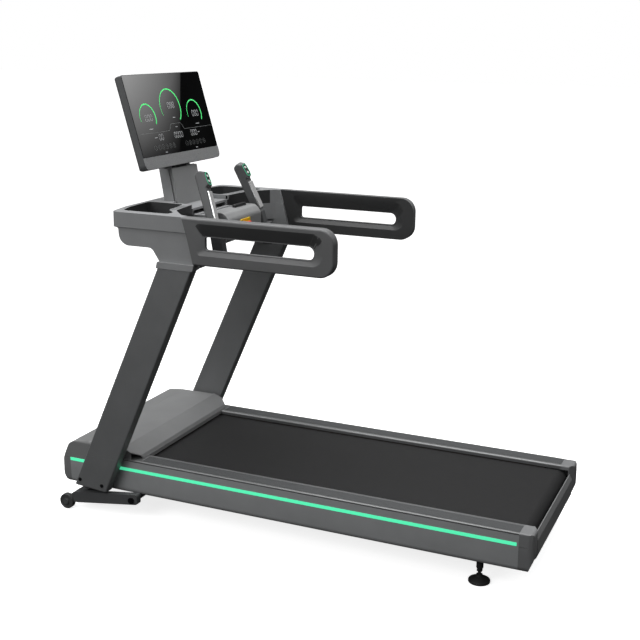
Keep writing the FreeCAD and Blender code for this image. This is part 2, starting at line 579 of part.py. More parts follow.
def make_console():
    wall = 4.0
    top_z = TRAY_Z[1]
    plan = console_plan(0)
    tray = prism(plan, "z", *TRAY_Z)
    pocket_plan = [(156, 522, 14), (200, 510, 30), (300, 498, 40), (346, 450, 24), (386, 450, 16),
                   (386, 648, 30), (300, 668, 200), (156, 674, 16)]
    floor_z = TRAY_Z[0] + 6
    pocket = prism(pocket_plan, "z", floor_z, top_z + 1)
    around = prism(inset(pocket_plan, -3.0), "z", floor_z - 3, top_z + 1)
    void = prism(inset(plan, wall), "z", TRAY_Z[0] - 1, top_z - wall)
    tray_middle = box((-150, 150), (400.5, 590), (TRAY_Z[0] - 5, top_z))
    void = void.cut(around).cut(mirrored(around)).cut(tray_middle)
    tray = tray.cut(void).cut(pocket).cut(mirrored(pocket))
    ledge = prism([(-150, 400), (150, 400), (150, 500, 14), (142, 520, 14), (142, 582, 14),
                   (-142, 582, 14), (-142, 520, 14), (-150, 500, 14)], "z", 1241, top_z + 1)
    shelf = box((-132, 132), (460, 566), (1213, 1232))
    bed = box((-138, 138), (400.5, 490), (TRAY_Z[0], 1218))
    cards = bed.cut(box((-128, 128), (408, 470), (1214, 1220)))
    tray = tray.cut(ledge).cut(shelf)
    front_room = box((-138, 138), (390, 490), (TRAY_Z[0] - 1, 1242))
    band_end = prism([(364.3, top_z), (370, top_z), (370, TRAY_Z[0]), (347.4, TRAY_Z[0])], "x",
                     392, CONSOLE_X)
    tray = fuse(tray.cut(front_room), cards, band_end, mirrored(band_end))
    neck_slot = box((-104, 104), (572, 639), (1236, top_z + 1))
    post_hole = box((-47, 47), (594, 621), (TRAY_Z[0] - 1, top_z))
    add("console_tray", tray.cut(neck_slot).cut(post_hole))

    seam_z = TRAY_Z[0]
    bottom = COVER_BOTTOM
    side = [(668, seam_z), (645, seam_z - 4, 8), (640, bottom, 44), (500, bottom, 26),
            (469, COLLAR_TOP + 0.3, 3), (320.5, COLLAR_TOP + 0.3), (345, 1187), (349, seam_z)]
    cheek_x = (CHEEK_IN, CONSOLE_X - 6)
    block = prism(side, "x", -425, 425).common(prism(console_plan(-6), "z", 1080, seam_z))
    body = block.common(box((-424, 424), (380, 700), (bottom, seam_z)))
    cheek = prism(side, "x", *cheek_x)
    body = fuse(body, cheek, mirrored(cheek))
    inner_side = [(640, seam_z + 1), (634, bottom + wall, 36),
                  (360, bottom + wall), (360, seam_z + 1)]
    inner = prism(inner_side, "x", -420, 420)
    inner = inner.common(prism(inset(console_plan(-6), wall), "z", bottom, seam_z + 2))
    head = prism([(490, seam_z + 1), (490, bottom + wall), (462, 1080), (326, 1080), (350, 1183),
                  (356, seam_z + 1)], "x", cheek_x[0] + 3, cheek_x[1] - 3)
    body = body.cut(inner).cut(head).cut(mirrored(head))
    add("console_lower_cover", body)


def make_handrails():
    x0, x1 = HANDRAIL_X
    rear = HANDRAIL_REAR_Y
    loop = [(364, 1258), (rear, 1258, 56), (rear, 1085, 56), (318, 1085), (343, 1187)]
    rail = prism(loop, "x", x0, x1)
    tops = [e for e in rail.Edges if e.BoundBox.XLength < 0.01 and e.CenterOfMass.x > x1 - 1
            and e.BoundBox.YMin < 300]
    rail = rail.makeFillet(7.0, tops)
    slot = prism([(273, 1192, 10), (-161, 1192, 24), (-161, 1143, 24), (273, 1143, 10)],
                 "x", x0 - 5, x1 + 5)
    rail = rail.cut(slot)

    def recess(x_face, direction):
        wide = outline([(306, 1240, 16), (-199, 1240, 40), (-199, 1123, 40), (306, 1123, 16)], "x")
        narrow = outline([(277, 1196, 12), (-165, 1196, 26), (-165, 1139, 26), (277, 1139, 12)], "x")
        wide.translate(V(x_face, 0, 0))
        narrow.translate(V(x_face - direction * 11, 0, 0))
        return Part.makeLoft([wide, narrow], True)

    rail = rail.cut(recess(x1 + 0.01, 1)).cut(recess(x0 - 0.01, -1))
    add("handrail_right", rail)
    add("handrail_left", mirrored(rail))


def splayed(shape):
    """Lean a grip piece in towards the middle at its top, about the lever's foot."""
    return shape.rotated(V(211, 0, 1110), V(0, 1, 0), -GRIP_SPLAY)


def make_grips():
    foot_x = 211.0
    half = 19.0
    lever = [(458, 1380, 16), (440, 1398, 12), (417, 1396, 6), (392, 1347, 6), (399, 1336, 4),
             (352, 1208, 8), (346, 1200, 6), (337, 1150), (362, 1150), (384, 1200, 10)]
    body = prism(lever, "x", foot_x - half, foot_x + half)
    long_edges = [e for e in body.Edges if e.BoundBox.XLength < 0.01 and e.Length > 100]
    body = body.makeFillet(7.0, long_edges)
    nose = V(0, 417 - 392, 1396 - 1347).normalize()
    face_out = V(0, -nose.z, nose.y)
    centre = V(foot_x, (417 + 392) / 2, (1396 + 1347) / 2)

    def on_face(shape):
        """Put a shape made in the XY plane, facing +Z, on to the grip's button face."""
        placed = shape.copy()
        rotation = FreeCAD.Rotation(V(1, 0, 0), nose, face_out, "ZXY")
        placed.Placement = FreeCAD.Placement(centre, rotation)
        return placed

    def ring_shape(play, low, high):
        outer = prism(rounded((-14.5 - play, 14.5 + play), (-26 - play, 26 + play), 13 + play),
                      "z", low, high)
        inner = prism(rounded((-12.3 + play, 12.3 - play), (-23.8 + play, 23.8 - play), 11 - play),
                      "z", low - 1.5, high + 1.5)
        return outer.cut(inner)

    ring = ring_shape(0.0, -1.5, 1.2)
    body = body.cut(on_face(ring_shape(0.1, -1.5, 5.0)))
    buttons = []
    for along in (-11.0, 11.0):
        body = body.cut(on_face(rod("z", (0, along), 5.6, -6.0, 6)))
        cap = rod("z", (0, along), 5.3, -3.2, 1.6)
        top = [e for e in cap.Edges if e.BoundBox.ZMin > 1.5]
        buttons.append(cap.makeFillet(1.0, top))
    plate = prism([(389.7, 1324, 2), (398, 1324), (357.4, 1214), (347.9, 1214, 2)], "x",
                  foot_x - 14, foot_x + 14)
    body = body.cut(plate)
    shell = splayed(body)
    add("grip_right", shell)
    add("grip_left", mirrored(shell))
    add("pulse_plates", *pair(splayed(plate)))
    add("grip_light_rings", *pair(splayed(on_face(ring))))
    for name, button in (("lower", buttons[0]), ("upper", buttons[1])):
        right = splayed(on_face(button))
        add("grip_button_%s_right" % name, right)
        add("grip_button_%s_left" % name, mirrored(right))
    lug = prism([(343, 1072, 5), (366, 1149.5, 5), (318, 1149.5, 5), (296, 1072, 5)], "x",
                foot_x - 17, foot_x + 17)
    lug = splayed(lug)
    arm = box((foot_x + 8, UPRIGHT_X[0] - COLLAR_LIP), (322, 346), (1062, COLLAR_TOP - 1))
    arm_end = box((foot_x - 12, foot_x + 30), (312, 350), (1058, 1090))
    add("grip_supports", *pair(fuse(lug, arm, arm_end)))


def make_centre_module():
    section = [(400, 1233), (352, 1233, 30), (327, 1206, 30), (327, 1142, 20), (342, 1108, 24),
               (398, 1122, 10)]
    outer = prism(section, "x", -138, 138)
    inner = prism(inset(section, 3.0), "x", -134, 134)
    module = outer.cut(inner)
    module = module.cut(box((-50, 50), (396, 401), (1180, 1199)))
    stop_z = 1166.0
    module = module.cut(rod("y", (-4, stop_z), 12.4, 320, 335))
    module = module.cut(box((4.7, 97.3), (372.7, 391.3), (1228.5, 1240)))
    add("centre_module", module)
    plate = prism(rounded((-44, 36), (stop_z - 30, stop_z + 30), 6), "y", 323.2, 326.9)
    plate = plate.cut(rod("y", (-4, stop_z), 12.4, 320, 330))
    add("stop_plate", plate)
    cap = prism(rounded((-4 - 21, -4 + 21), (stop_z - 19, stop_z + 19), 8), "y", 307, 316)
    front = [e for e in cap.Edges if e.BoundBox.YMax < 307.01]
    cap = cap.makeFillet(2.5, front)
    add("stop_button", fuse(cap, rod("y", (-4, stop_z), 12, 316, 345)))
    key = prism(rounded((5, 97), (373, 391), 5), "z", 1228.8, 1244)
    key = key.makeFillet(3.0, [e for e in key.Edges if e.BoundBox.ZMin > 1243.9])
    add("safety_key", key)


# ---- neck and display ---------------------------------------------------------------
def display_place(shape):
    """Stand a shape made flat on the XZ plane, facing -Y, at the display's place."""
    placed = shape.rotated(V(0, 0, 0), V(1, 0, 0), -DISPLAY_TILT)
    return placed.translated(V(0, DISPLAY_FOOT[0], DISPLAY_FOOT[1]))


def make_neck():
    front = [(574, 1236, 3), (603.6, 1387.5, 3), (614.9, 1384.5), (586, 1236)]
    add("neck_front_cover", prism(front, "x", -100, 100))
    rear = [(588.5, 1236), (617.9, 1387), (638, 1382.4, 6), (653, 1436, 3), (668, 1432, 8),
            (640, 1270, 20), (634, 1236)]
    shell = prism(rear, "x", -103, 103)
    core = prism([(591, 1228), (620.3, 1383), (640.8, 1378.4), (655.4, 1431), (663.8, 1428.6),
                  (636.5, 1268, 16), (630.5, 1230)], "x", -99, 99)
    passage = prism([(594, 1225), (594, 1250), (626, 1434), (642, 1430), (620, 1250), (620, 1225)],
                    "x", -46.5, 46.5)
    add("neck_rear_cover", shell.cut(core).cut(passage))
    post = prism([(596, 1143), (596, 1250), (628, 1430), (640, 1427), (618, 1250), (618, 1143)],
                 "x", -45, 45)
    hollow = prism([(599, 1130), (599, 1250), (631, 1432), (637, 1431), (615, 1250), (615, 1130)],
                   "x", -42, 42)
    bar = box((-401, 401), (500, 530), (1143, 1173))
    arm = box((24, 44), (525, 600), (1143, 1173))
    head = prism([(455, COLLAR_TOP + 0.6), (340, COLLAR_TOP + 0.6), (365, 1173), (530, 1173),
                  (530, 1143), (480, 1140)], "x", 393, 401)
    add("neck_post", fuse(post, bar, arm, mirrored(arm), head, mirrored(head)).cut(hollow))


def make_display():
    w, h, t = DISPLAY_HALF, DISPLAY_H, DISPLAY_T
    shell = prism([(-w, 0, 22), (w, 0, 22), (w, h, 9), (-w, h, 9)], "y", 2.0, t)
    shell = shell.common(prism([(-w, 0), (w, 0), (w, t, 12), (-w, t, 12)], "z", 0, h))
    shell = shell.common(prism([(0, 0), (t, 0, 12), (t, h, 20), (0, h)], "x", -w, w))
    cavity = prism(rounded((-w + 5, w - 5), (5, h - 5), 5), "y", 0, t - 14)
    shell = shell.cut(cavity)
    slot = box((-47, 47), (10, t + 1), (-1, 44))
    shell = shell.cut(slot)
    add("display_housing", display_place(shell))
    glass = prism(rounded((-w + 1.5, w - 1.5), (47, h - 1.5), 8), "y", 0, 1.9)
    add("display_glass", display_place(glass))
    strip = prism([(-w, 46.5), (w, 46.5), (w, 0, 22), (-w, 0, 22)], "y", 0, 1.9)
    add("display_strip", display_place(strip))
    board = prism(rounded((-w + 24, w - 24), (60, h - 24), 4), "y", 6, 12)
    add("display_board", display_place(board))


def main():
    make_frame()
    make_deck()
    make_belt_and_rollers()
    make_foot_rails()
    make_side_skins()
    make_rear_end()
    make_motor_bay()
    make_drive()
    make_lift()
    make_fasteners()
    make_feet_and_power()
    make_uprights()
    make_console()
    make_handrails()
    make_grips()
    make_centre_module()
    make_neck()
    make_display()
    os.makedirs("parts", exist_ok=True)
    for name, shape in PARTS.items():
        if not shape.isValid():
            print("NOT VALID", name)
        shape.exportStep("parts/%s.step" % name)
    print(len(PARTS), "nodes")


main()
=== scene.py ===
import json
import math

import bmesh
import bpy
from mathutils import Matrix, Vector

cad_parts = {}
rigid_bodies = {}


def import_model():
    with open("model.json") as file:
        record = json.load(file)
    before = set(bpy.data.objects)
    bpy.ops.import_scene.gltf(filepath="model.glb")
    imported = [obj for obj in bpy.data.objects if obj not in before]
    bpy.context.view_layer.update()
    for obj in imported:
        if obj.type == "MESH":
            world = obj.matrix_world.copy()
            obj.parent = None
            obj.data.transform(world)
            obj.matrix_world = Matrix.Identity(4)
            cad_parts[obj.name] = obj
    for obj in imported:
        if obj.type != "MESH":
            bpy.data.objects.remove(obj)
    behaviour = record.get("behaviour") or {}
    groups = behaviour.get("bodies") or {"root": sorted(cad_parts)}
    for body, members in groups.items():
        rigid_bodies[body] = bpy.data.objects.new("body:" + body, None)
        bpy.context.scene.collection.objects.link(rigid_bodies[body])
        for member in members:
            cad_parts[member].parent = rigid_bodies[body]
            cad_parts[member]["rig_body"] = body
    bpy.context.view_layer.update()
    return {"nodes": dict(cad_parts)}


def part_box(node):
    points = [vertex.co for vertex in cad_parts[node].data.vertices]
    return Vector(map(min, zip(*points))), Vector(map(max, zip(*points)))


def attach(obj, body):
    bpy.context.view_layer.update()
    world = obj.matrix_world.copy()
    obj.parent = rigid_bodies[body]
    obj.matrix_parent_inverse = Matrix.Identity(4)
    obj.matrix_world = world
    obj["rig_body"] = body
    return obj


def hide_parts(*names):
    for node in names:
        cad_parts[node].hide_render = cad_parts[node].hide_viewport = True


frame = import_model()

bl_info = {
    "name": "Treadmill Dresser",
    "version": (1, 0, 0),
    "blender": (4, 5, 0),
    "location": "View3D > Sidebar > Treadmill",
    "description": "Finishes and fine parts for a treadmill built on its engineering frame",
    "category": "Object",
}

NODES = frame["nodes"]
MM = 0.001
SCENE_KEY = "treadmill"
MERGE = 2e-6                        # vertices closer than this are one
FLAT_WITHIN = math.radians(0.5)     # faces that differ by less are one flat
ROUND_FROM = math.radians(32)       # edges turned by more are rounded
SHARP_FROM = math.radians(38)       # edges turned by more are shaded sharp
ROOM = 1.6                          # a neighbouring edge's least length, in radii
IN_LINE = 0.85                      # cosine above which two edges run on from each other


# ---- settings a user may change -------------------------------------------------------
def colour(name, description, *default):
    return bpy.props.FloatVectorProperty(
        name=name, description=description, default=default, subtype="COLOR", size=3, min=0, max=1)


def length(name, description, millimetres):
    return bpy.props.FloatProperty(
        name=name, description=description, default=millimetres * MM, min=0, unit="LENGTH",
        subtype="DISTANCE", precision=4)


def degrees(name, description, value):
    return bpy.props.FloatProperty(
        name=name, description=description, default=math.radians(value), unit="ROTATION",
        subtype="ANGLE")


class TREADMILL_PG_finishes(bpy.types.PropertyGroup):
    charcoal: colour("Charcoal paint", "Powder coat of the uprights and skins", 0.115, 0.118, 0.12)
    rail: colour("Rail metal", "Anodised foot rails", 0.2, 0.204, 0.206)
    insert: colour("Rail insert", "Rubber let into the foot rails", 0.055, 0.058, 0.06)
    belt: colour("Running belt", "Top cover of the running belt", 0.011, 0.011, 0.0115)
    pale: colour("Pale plastic", "Hood, trim and centre module", 0.205, 0.208, 0.21)
    cap: colour("Rear caps", "Moulded rear end caps", 0.2, 0.203, 0.207)
    pod: colour("Console plastic", "Console tray and lower cover", 0.26, 0.265, 0.27)
    rail_skin: colour("Handrail plastic", "Handrail mouldings", 0.125, 0.127, 0.129)
    grip: colour("Grip rubber", "Soft skin of the hand grips", 0.1, 0.103, 0.105)
    black: colour("Black plastic", "Keys, seals and small black parts", 0.008, 0.008, 0.009)
    mint: colour("Light strip", "Lit mint green strip", 0.11, 1.0, 0.52)
    gauge: colour("Gauge green", "Lit gauge arcs on the display", 0.08, 0.78, 0.2)
    red: colour("Stop red", "Emergency stop button", 0.78, 0.03, 0.012)
    yellow: colour("Stop yellow", "Plate round the stop button", 0.9, 0.6, 0.02)
    white: colour("Button white", "Round thumb buttons", 0.85, 0.85, 0.84)


class TREADMILL_PG_details(bpy.types.PropertyGroup):
    sheet_edge: length("Sheet edge radius", "Rounding on the edges of painted sheet parts", 1.0)
    moulded_edge: length("Moulded edge radius", "Rounding on the edges of plastic parts", 2.0)
    pod_edge: length("Pod edge radius", "Rounding on the console's outer edges", 6.0)
    arc_width: length("Gauge width", "Width of a gauge arc at its bright end", 5.0)
    digit_height: length("Digit height", "Height of the large display digits", 23.0)
    pocket_reach: bpy.props.FloatVectorProperty(
        name="Pocket reach", description="Inner and outer edge of a pocket, from the middle",
        default=(0.154, 0.388), size=2, subtype="NONE", unit="LENGTH")


class TREADMILL_PG_stage(bpy.types.PropertyGroup):
    camera_place: bpy.props.FloatVectorProperty(
        name="Camera place", description="Where the camera stands",
        default=(-3.8609, -1.6841, 1.9103), subtype="TRANSLATION", unit="LENGTH")
    camera_yaw: degrees("Camera yaw", "Turn of the camera about the vertical", -66.4524)
    camera_pitch: degrees("Camera pitch", "Tilt of the camera above the horizon", -14.5966)
    camera_roll: degrees("Camera roll", "Roll of the camera about its view", 0.6558)
    lens: bpy.props.FloatProperty(
        name="Lens", description="Focal length of the camera", default=61.875, min=1, unit="CAMERA")
    floor_half: length("Floor half width", "Half the side of the studio floor", 40000)
    card_distance: length("Card distance", "How far the reflected card stands from the glass", 3000)
    card_light: bpy.props.FloatProperty(
        name="Card light", description="Brightness of the reflected card", default=2.9, min=0)


def settings():
    return getattr(bpy.context.scene, SCENE_KEY + "_finishes")


def details():
    return getattr(bpy.context.scene, SCENE_KEY + "_details")


# ---- finishes -------------------------------------------------------------------------
class Recipe:
    """A material being put together from nodes, with object coordinates as its start."""

    def __init__(self, name):
        self.material = bpy.data.materials.new(name)
        self.material.use_nodes = True
        tree = self.material.node_tree
        self.nodes, self.links = tree.nodes, tree.links
        self.shader = next(n for n in self.nodes if n.type == "BSDF_PRINCIPLED")
        self.place = self.node("ShaderNodeTexCoord").outputs["Object"]

    def node(self, kind, **values):
        made = self.nodes.new(kind)
        for key, value in values.items():
            if hasattr(made, key):
                setattr(made, key, value)
            else:
                made.inputs[key.replace("_", " ").title()].default_value = value
        return made

    def link(self, start, end):
        self.links.new(start, end)

    def stretched(self, scale):
        mapping = self.node("ShaderNodeMapping")
        mapping.inputs["Scale"].default_value = scale
        self.link(self.place, mapping.inputs["Vector"])
        return mapping.outputs["Vector"]

    def noise(self, scale, detail=3.0, stretch=None):
        made = self.node("ShaderNodeTexNoise", scale=scale, detail=detail)
        self.link(self.stretched(stretch) if stretch else self.place, made.inputs["Vector"])
        return made.outputs["Fac"]

    def cells(self, scale, stretch=None):
        made = self.node("ShaderNodeTexVoronoi", scale=scale)
        self.link(self.stretched(stretch) if stretch else self.place, made.inputs["Vector"])
        return made.outputs["Distance"]

    def waves(self, scale, direction):
        made = self.node("ShaderNodeTexWave", scale=scale, bands_direction=direction)
        self.link(self.place, made.inputs["Vector"])
        return made.outputs["Fac"]

    def times(self, a, b):
        made = self.node("ShaderNodeMath", operation="MULTIPLY")
        self.link(a, made.inputs[0])
        self.link(b, made.inputs[1])
        return made.outputs[0]

    def plus(self, a, b):
        made = self.node("ShaderNodeMath", operation="ADD")
        self.link(a, made.inputs[0])
        self.link(b, made.inputs[1])
        return made.outputs[0]

    def tint(self, pattern, tone, spread):
        """Colour that wanders between a darker and a lighter shade of one tone."""
        ramp = self.node("ShaderNodeValToRGB")
        low, high = ramp.color_ramp.elements
        low.position, high.position = 0.3, 0.7
        low.color = [c * (1 - spread) for c in tone] + [1]
        high.color = [min(c * (1 + spread), 1) for c in tone] + [1]
        self.link(pattern, ramp.inputs["Fac"])
        self.link(ramp.outputs["Color"], self.shader.inputs["Base Color"])

    def sheen_range(self, pattern, low, high):
        """Roughness that follows a pattern."""
        spread = self.node("ShaderNodeMapRange", to_min=low, to_max=high)
        self.link(pattern, spread.inputs["Value"])
        self.link(spread.outputs["Result"], self.shader.inputs["Roughness"])

    def raise_by(self, pattern, depth, strength=1.0):
        bump = self.node("ShaderNodeBump", strength=strength, distance=depth)
        self.link(pattern, bump.inputs["Height"])
        self.link(bump.outputs["Normal"], self.shader.inputs["Normal"])

    def set(self, **values):
        for key, value in values.items():
            self.shader.inputs[key.replace("_", " ")].default_value = value


def coat_finish(name, tone, rough, grain, depth, spread=0.05, metallic=0.0, specular=0.5):
    """Powder coat or moulded plastic: a fine orange-peel grain and slow changes of tone."""
    recipe = Recipe(name)
    fine = recipe.noise(grain, 4.0)
    recipe.tint(recipe.noise(9.0, 5.0), tone, spread)
    recipe.sheen_range(fine, rough - 0.05, rough + 0.06)
    recipe.raise_by(fine, depth, 0.6)
    recipe.set(Metallic=metallic, Specular_IOR_Level=specular)
    return recipe


def drawn_finish(name, tone, rough, along, metallic=0.85, depth=0.00004):
    """Metal drawn or brushed along one direction, which the stretch gives."""
    recipe = Recipe(name)
    streaks = recipe.noise(260.0, 3.0, along)
    recipe.tint(streaks, tone, 0.1)
    recipe.sheen_range(streaks, rough - 0.08, rough + 0.08)
    recipe.raise_by(streaks, depth, 0.5)
    recipe.set(Metallic=metallic)
    return recipe


def lit_finish(name, tone, strength):
    """A diffuser lit from behind, slightly uneven along its length."""
    recipe = Recipe(name)
    recipe.tint(recipe.noise(30.0), tone, 0.03)
    recipe.sheen_range(recipe.noise(700.0), 0.35, 0.45)
    recipe.set(Emission_Color=list(tone) + [1], Emission_Strength=strength)
    return recipe


def belt_finish(tone):
    """Running belt: small close pebbles pressed into a matt black cover."""
    recipe = Recipe("belt cover")
    pebble = recipe.cells(620.0)
    speck = recipe.noise(900.0, 2.0)
    recipe.tint(speck, tone, 0.55)
    recipe.sheen_range(speck, 0.52, 0.78)
    recipe.raise_by(recipe.plus(pebble, speck), 0.0005, 0.7)
    recipe.set(Specular_IOR_Level=0.3)


def insert_finish(tone):
    """Rail insert: fine lengthways ribs broken by a pressed cross grain."""
    recipe = Recipe("rail insert")
    ribs = recipe.waves(130.0, "X")
    grain = recipe.noise(800.0, 2.0)
    recipe.tint(grain, tone, 0.25)
    recipe.sheen_range(grain, 0.55, 0.75)
    recipe.raise_by(recipe.plus(ribs, grain), 0.0004, 0.7)


def knurl_finish(name, tone):
    """Anodised strip with a fine crossed knurl."""
    recipe = Recipe(name)
    cross = recipe.times(recipe.waves(150.0, "X"), recipe.waves(150.0, "Z"))
    speck = recipe.noise(420.0, 4.0)
    recipe.tint(speck, tone, 0.28)
    recipe.sheen_range(speck, 0.34, 0.5)
    recipe.raise_by(recipe.plus(cross, speck), 0.0003, 0.6)
    recipe.set(Metallic=0.5)


def glass_finish():
    """Black cover glass with the faintest wipe marks."""
    recipe = Recipe("cover glass")
    wipe = recipe.noise(14.0, 6.0, (1.0, 1.0, 0.25))
    recipe.tint(wipe, (0.0022, 0.0023, 0.0025), 0.3)
    recipe.sheen_range(wipe, 0.004, 0.015)
    recipe.set(IOR=1.52, Coat_Weight=0.35, Coat_Roughness=0.02)


def tyre_finish(name, tone):
    """Soft rubber with a dusty grain."""
    recipe = Recipe(name)
    grain = recipe.noise(520.0, 5.0)
    recipe.tint(grain, tone, 0.2)
    recipe.sheen_range(grain, 0.5, 0.7)
    recipe.raise_by(grain, 0.0002, 0.5)


def board_finish(name, tone, veins):
    """Pressed board or laminate with long veins."""
    recipe = Recipe(name)
    recipe.tint(recipe.noise(30.0, 6.0, veins), tone, 0.3)
    recipe.sheen_range(recipe.noise(200.0), 0.5, 0.65)


def shade(tone, factor):
    """A lighter or darker shade of a tone."""
    return [c * factor for c in tone]


def mix_finishes():
    """Every material; a coat's numbers are its roughness, grain size, grain depth and spread."""
    s = settings()
    coat_finish("charcoal paint", shade(s.charcoal, 1.6), 0.42, 900.0, 0.00012, metallic=0.25)
    # the same charcoal coat, painted 2.6 times lighter than on the uprights: painted light for the
    # brighter light and sheen on the skins
    coat_finish("skin charcoal painted lighter", shade(s.charcoal, 4.2), 0.36, 900.0, 0.0001, metallic=0.35)
    coat_finish("frame paint", (0.03, 0.031, 0.033), 0.45, 700.0, 0.0002)
    coat_finish("arm paint", (0.085, 0.088, 0.09), 0.42, 700.0, 0.0002)
    coat_finish("pale plastic", s.pale, 0.42, 1100.0, 0.0001)
    coat_finish("module plastic", shade(s.pale, 1.15), 0.38, 1100.0, 0.0001)
    coat_finish("cap plastic", s.cap, 0.36, 1100.0, 0.0001)
    coat_finish("pod plastic", s.pod, 0.42, 1000.0, 0.00014)
    coat_finish("handrail plastic", s.rail_skin, 0.45, 1000.0, 0.00014)
    # a darker copy of the handrail plastic: painted shade for the handrails' inner sides and recess
    # lips
    coat_finish("handrail painted shade", shade(s.rail_skin, 0.3), 0.4, 1000.0, 0.00014)
    coat_finish("grip skin", s.grip, 0.48, 700.0, 0.0002)
    coat_finish("black plastic", s.black, 0.3, 900.0, 0.0001)
    # a near-black coat that paints the shade inside the console's pockets
    coat_finish("pocket painted shade", (0.03, 0.031, 0.032), 0.55, 500.0, 0.0003)
    coat_finish("display shell", (0.095, 0.098, 0.1), 0.4, 1000.0, 0.00014)
    coat_finish("neck plastic", (0.26, 0.265, 0.27), 0.4, 1000.0, 0.00012)
    coat_finish("button white", s.white, 0.3, 900.0, 0.00005, 0.02)
    coat_finish("stop red", s.red, 0.3, 700.0, 0.00006, 0.05)
    coat_finish("stop yellow", s.yellow, 0.38, 700.0, 0.00006, 0.04)
    coat_finish("pulse metal", (0.93, 0.93, 0.93), 0.2, 600.0, 0.00002, 0.02, 0.6, 0.8)
    coat_finish("bolt black", (0.012, 0.012, 0.013), 0.35, 500.0, 0.0001, 0.1, 0.6)
    coat_finish("motor enamel", (0.02, 0.021, 0.023), 0.4, 400.0, 0.0002)
    coat_finish("cast aluminium", (0.42, 0.42, 0.43), 0.5, 350.0, 0.0004, 0.1, 0.8)
    drawn_finish("rail metal", s.rail, 0.36, (1.0, 0.02, 1.0), 0.55)
    drawn_finish("turned steel", (0.5, 0.5, 0.51), 0.3, (0.05, 1.0, 1.0))
    lit_finish("strip light", s.mint, 0.55)
    lit_finish("ring light", shade(s.mint, 0.5), 0.2)
    lit_finish("gauge light", s.gauge, 0.55)
    lit_finish("digit light", (0.42, 0.43, 0.44), 0.3)
    lit_finish("faint light", (0.2, 0.21, 0.21), 0.05)
    belt_finish(s.belt)
    insert_finish(s.insert)
    knurl_finish("knurled strip", (0.33, 0.335, 0.34))
    glass_finish()
    tyre_finish("tyre rubber", (0.06, 0.061, 0.061))
    tyre_finish("foot rubber", (0.018, 0.018, 0.018))
    tyre_finish("soft rubber", (0.03, 0.03, 0.03))
    board_finish("deck board", (0.1, 0.075, 0.06), (1.0, 0.05, 1.0))
    board_finish("circuit laminate", (0.02, 0.09, 0.04), (1.0, 1.0, 1.0))


def finish(name):
    return bpy.data.materials[name]


# ---- making pieces --------------------------------------------------------------------
def dress(node, material):
    """Give a frame part that shows as it is its finish."""
    mesh = NODES[node].data
    mesh.materials.clear()
    mesh.materials.append(finish(material))


def piece(name, bm, body, *materials, sharp=SHARP_FROM):
    """Make an object from a bmesh and fix it to a body of the frame."""
    mesh = bpy.data.meshes.new(name)
    bm.to_mesh(mesh)
    bm.free()
    for material in materials:
        mesh.materials.append(finish(material))
    mesh.shade_smooth()
    mesh.set_sharp_from_angle(angle=sharp)
    made = bpy.data.objects.new(name, mesh)
    bpy.context.scene.collection.objects.link(made)
    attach(made, body)
    return made


def has_room(edge, radius):
    """True if the edges beside this one are long enough to take a rounding."""
    along = (edge.verts[1].co - edge.verts[0].co).normalized()
    for vert in edge.verts:
        for other in vert.link_edges:
            if other is edge or other.calc_length() > radius * ROOM:
                continue
            way = (other.verts[1].co - other.verts[0].co).normalized()
            if abs(way.dot(along)) < IN_LINE:
                return False
    return True


def round_edges(bm, radius, segments, keep=None):
    """Round every crisp edge that has room for it."""
    crisp = [e for e in bm.edges if e.is_manifold and e.calc_face_angle(0) > ROUND_FROM
             and has_room(e, radius) and (keep is None or keep(e))]
    if crisp:
        bmesh.ops.bevel(bm, geom=crisp, offset=radius, offset_type="OFFSET", segments=segments,
                        profile=0.5, affect="EDGES", clamp_overlap=True, material=-1,
                        loop_slide=True)


def merged(node):
    """A copy of a frame part's mesh with its triangles joined up and its flats made whole."""
    bm = bmesh.new()
    bm.from_mesh(NODES[node].data)
    bmesh.ops.remove_doubles(bm, verts=bm.verts, dist=MERGE)
    bmesh.ops.dissolve_limit(bm, angle_limit=FLAT_WITHIN, verts=bm.verts, edges=bm.edges)
    return bm


def weighted(made):
    """Let the large flat faces decide the shading of the small ones beside them."""
    modifier = made.modifiers.new("flat faces rule", "WEIGHTED_NORMAL")
    modifier.keep_sharp = True
    modifier.weight = 60
    return made


def softened(node, material, *radii, segments=3, name=None):
    """Stand a copy of a frame part with rounded edges in its place."""
    bm = merged(node)
    for radius in radii:
        round_edges(bm, radius, segments)
    made = piece(name or node + "_moulding", bm, NODES[node]["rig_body"], material)
    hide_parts(node)
    return weighted(made)


def repaint(made, material, chosen):
    """Give another finish to the faces that a test picks."""
    mesh = made.data
    mesh.materials.append(finish(material))
    slot = len(mesh.materials) - 1
    for face in mesh.polygons:
        if chosen(face):
            face.material_index = slot


def block(bm, low, high, radius=0.0, segments=2, turn=None):
    """Add a box between two corners to a bmesh, its edges rounded; turn is a 4x4 matrix."""
    low, high = Vector(low), Vector(high)
    size = high - low
    made = bmesh.ops.create_cube(bm, size=1.0)["verts"]
    bmesh.ops.scale(bm, vec=size, verts=made)
    bmesh.ops.translate(bm, vec=(low + high) / 2, verts=made)
    edges = list({e for v in made for e in v.link_edges})
    before = set(bm.verts) - set(made)
    if radius:
        bmesh.ops.bevel(bm, geom=edges, offset=radius, offset_type="OFFSET", segments=segments,
                        profile=0.5, affect="EDGES", clamp_overlap=True, material=-1)
    made = [v for v in bm.verts if v not in before]
    if turn is not None:
        bmesh.ops.transform(bm, matrix=turn, verts=made)
    return made


def middle(node):
    low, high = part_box(node)
    return (Vector(low) + Vector(high)) / 2


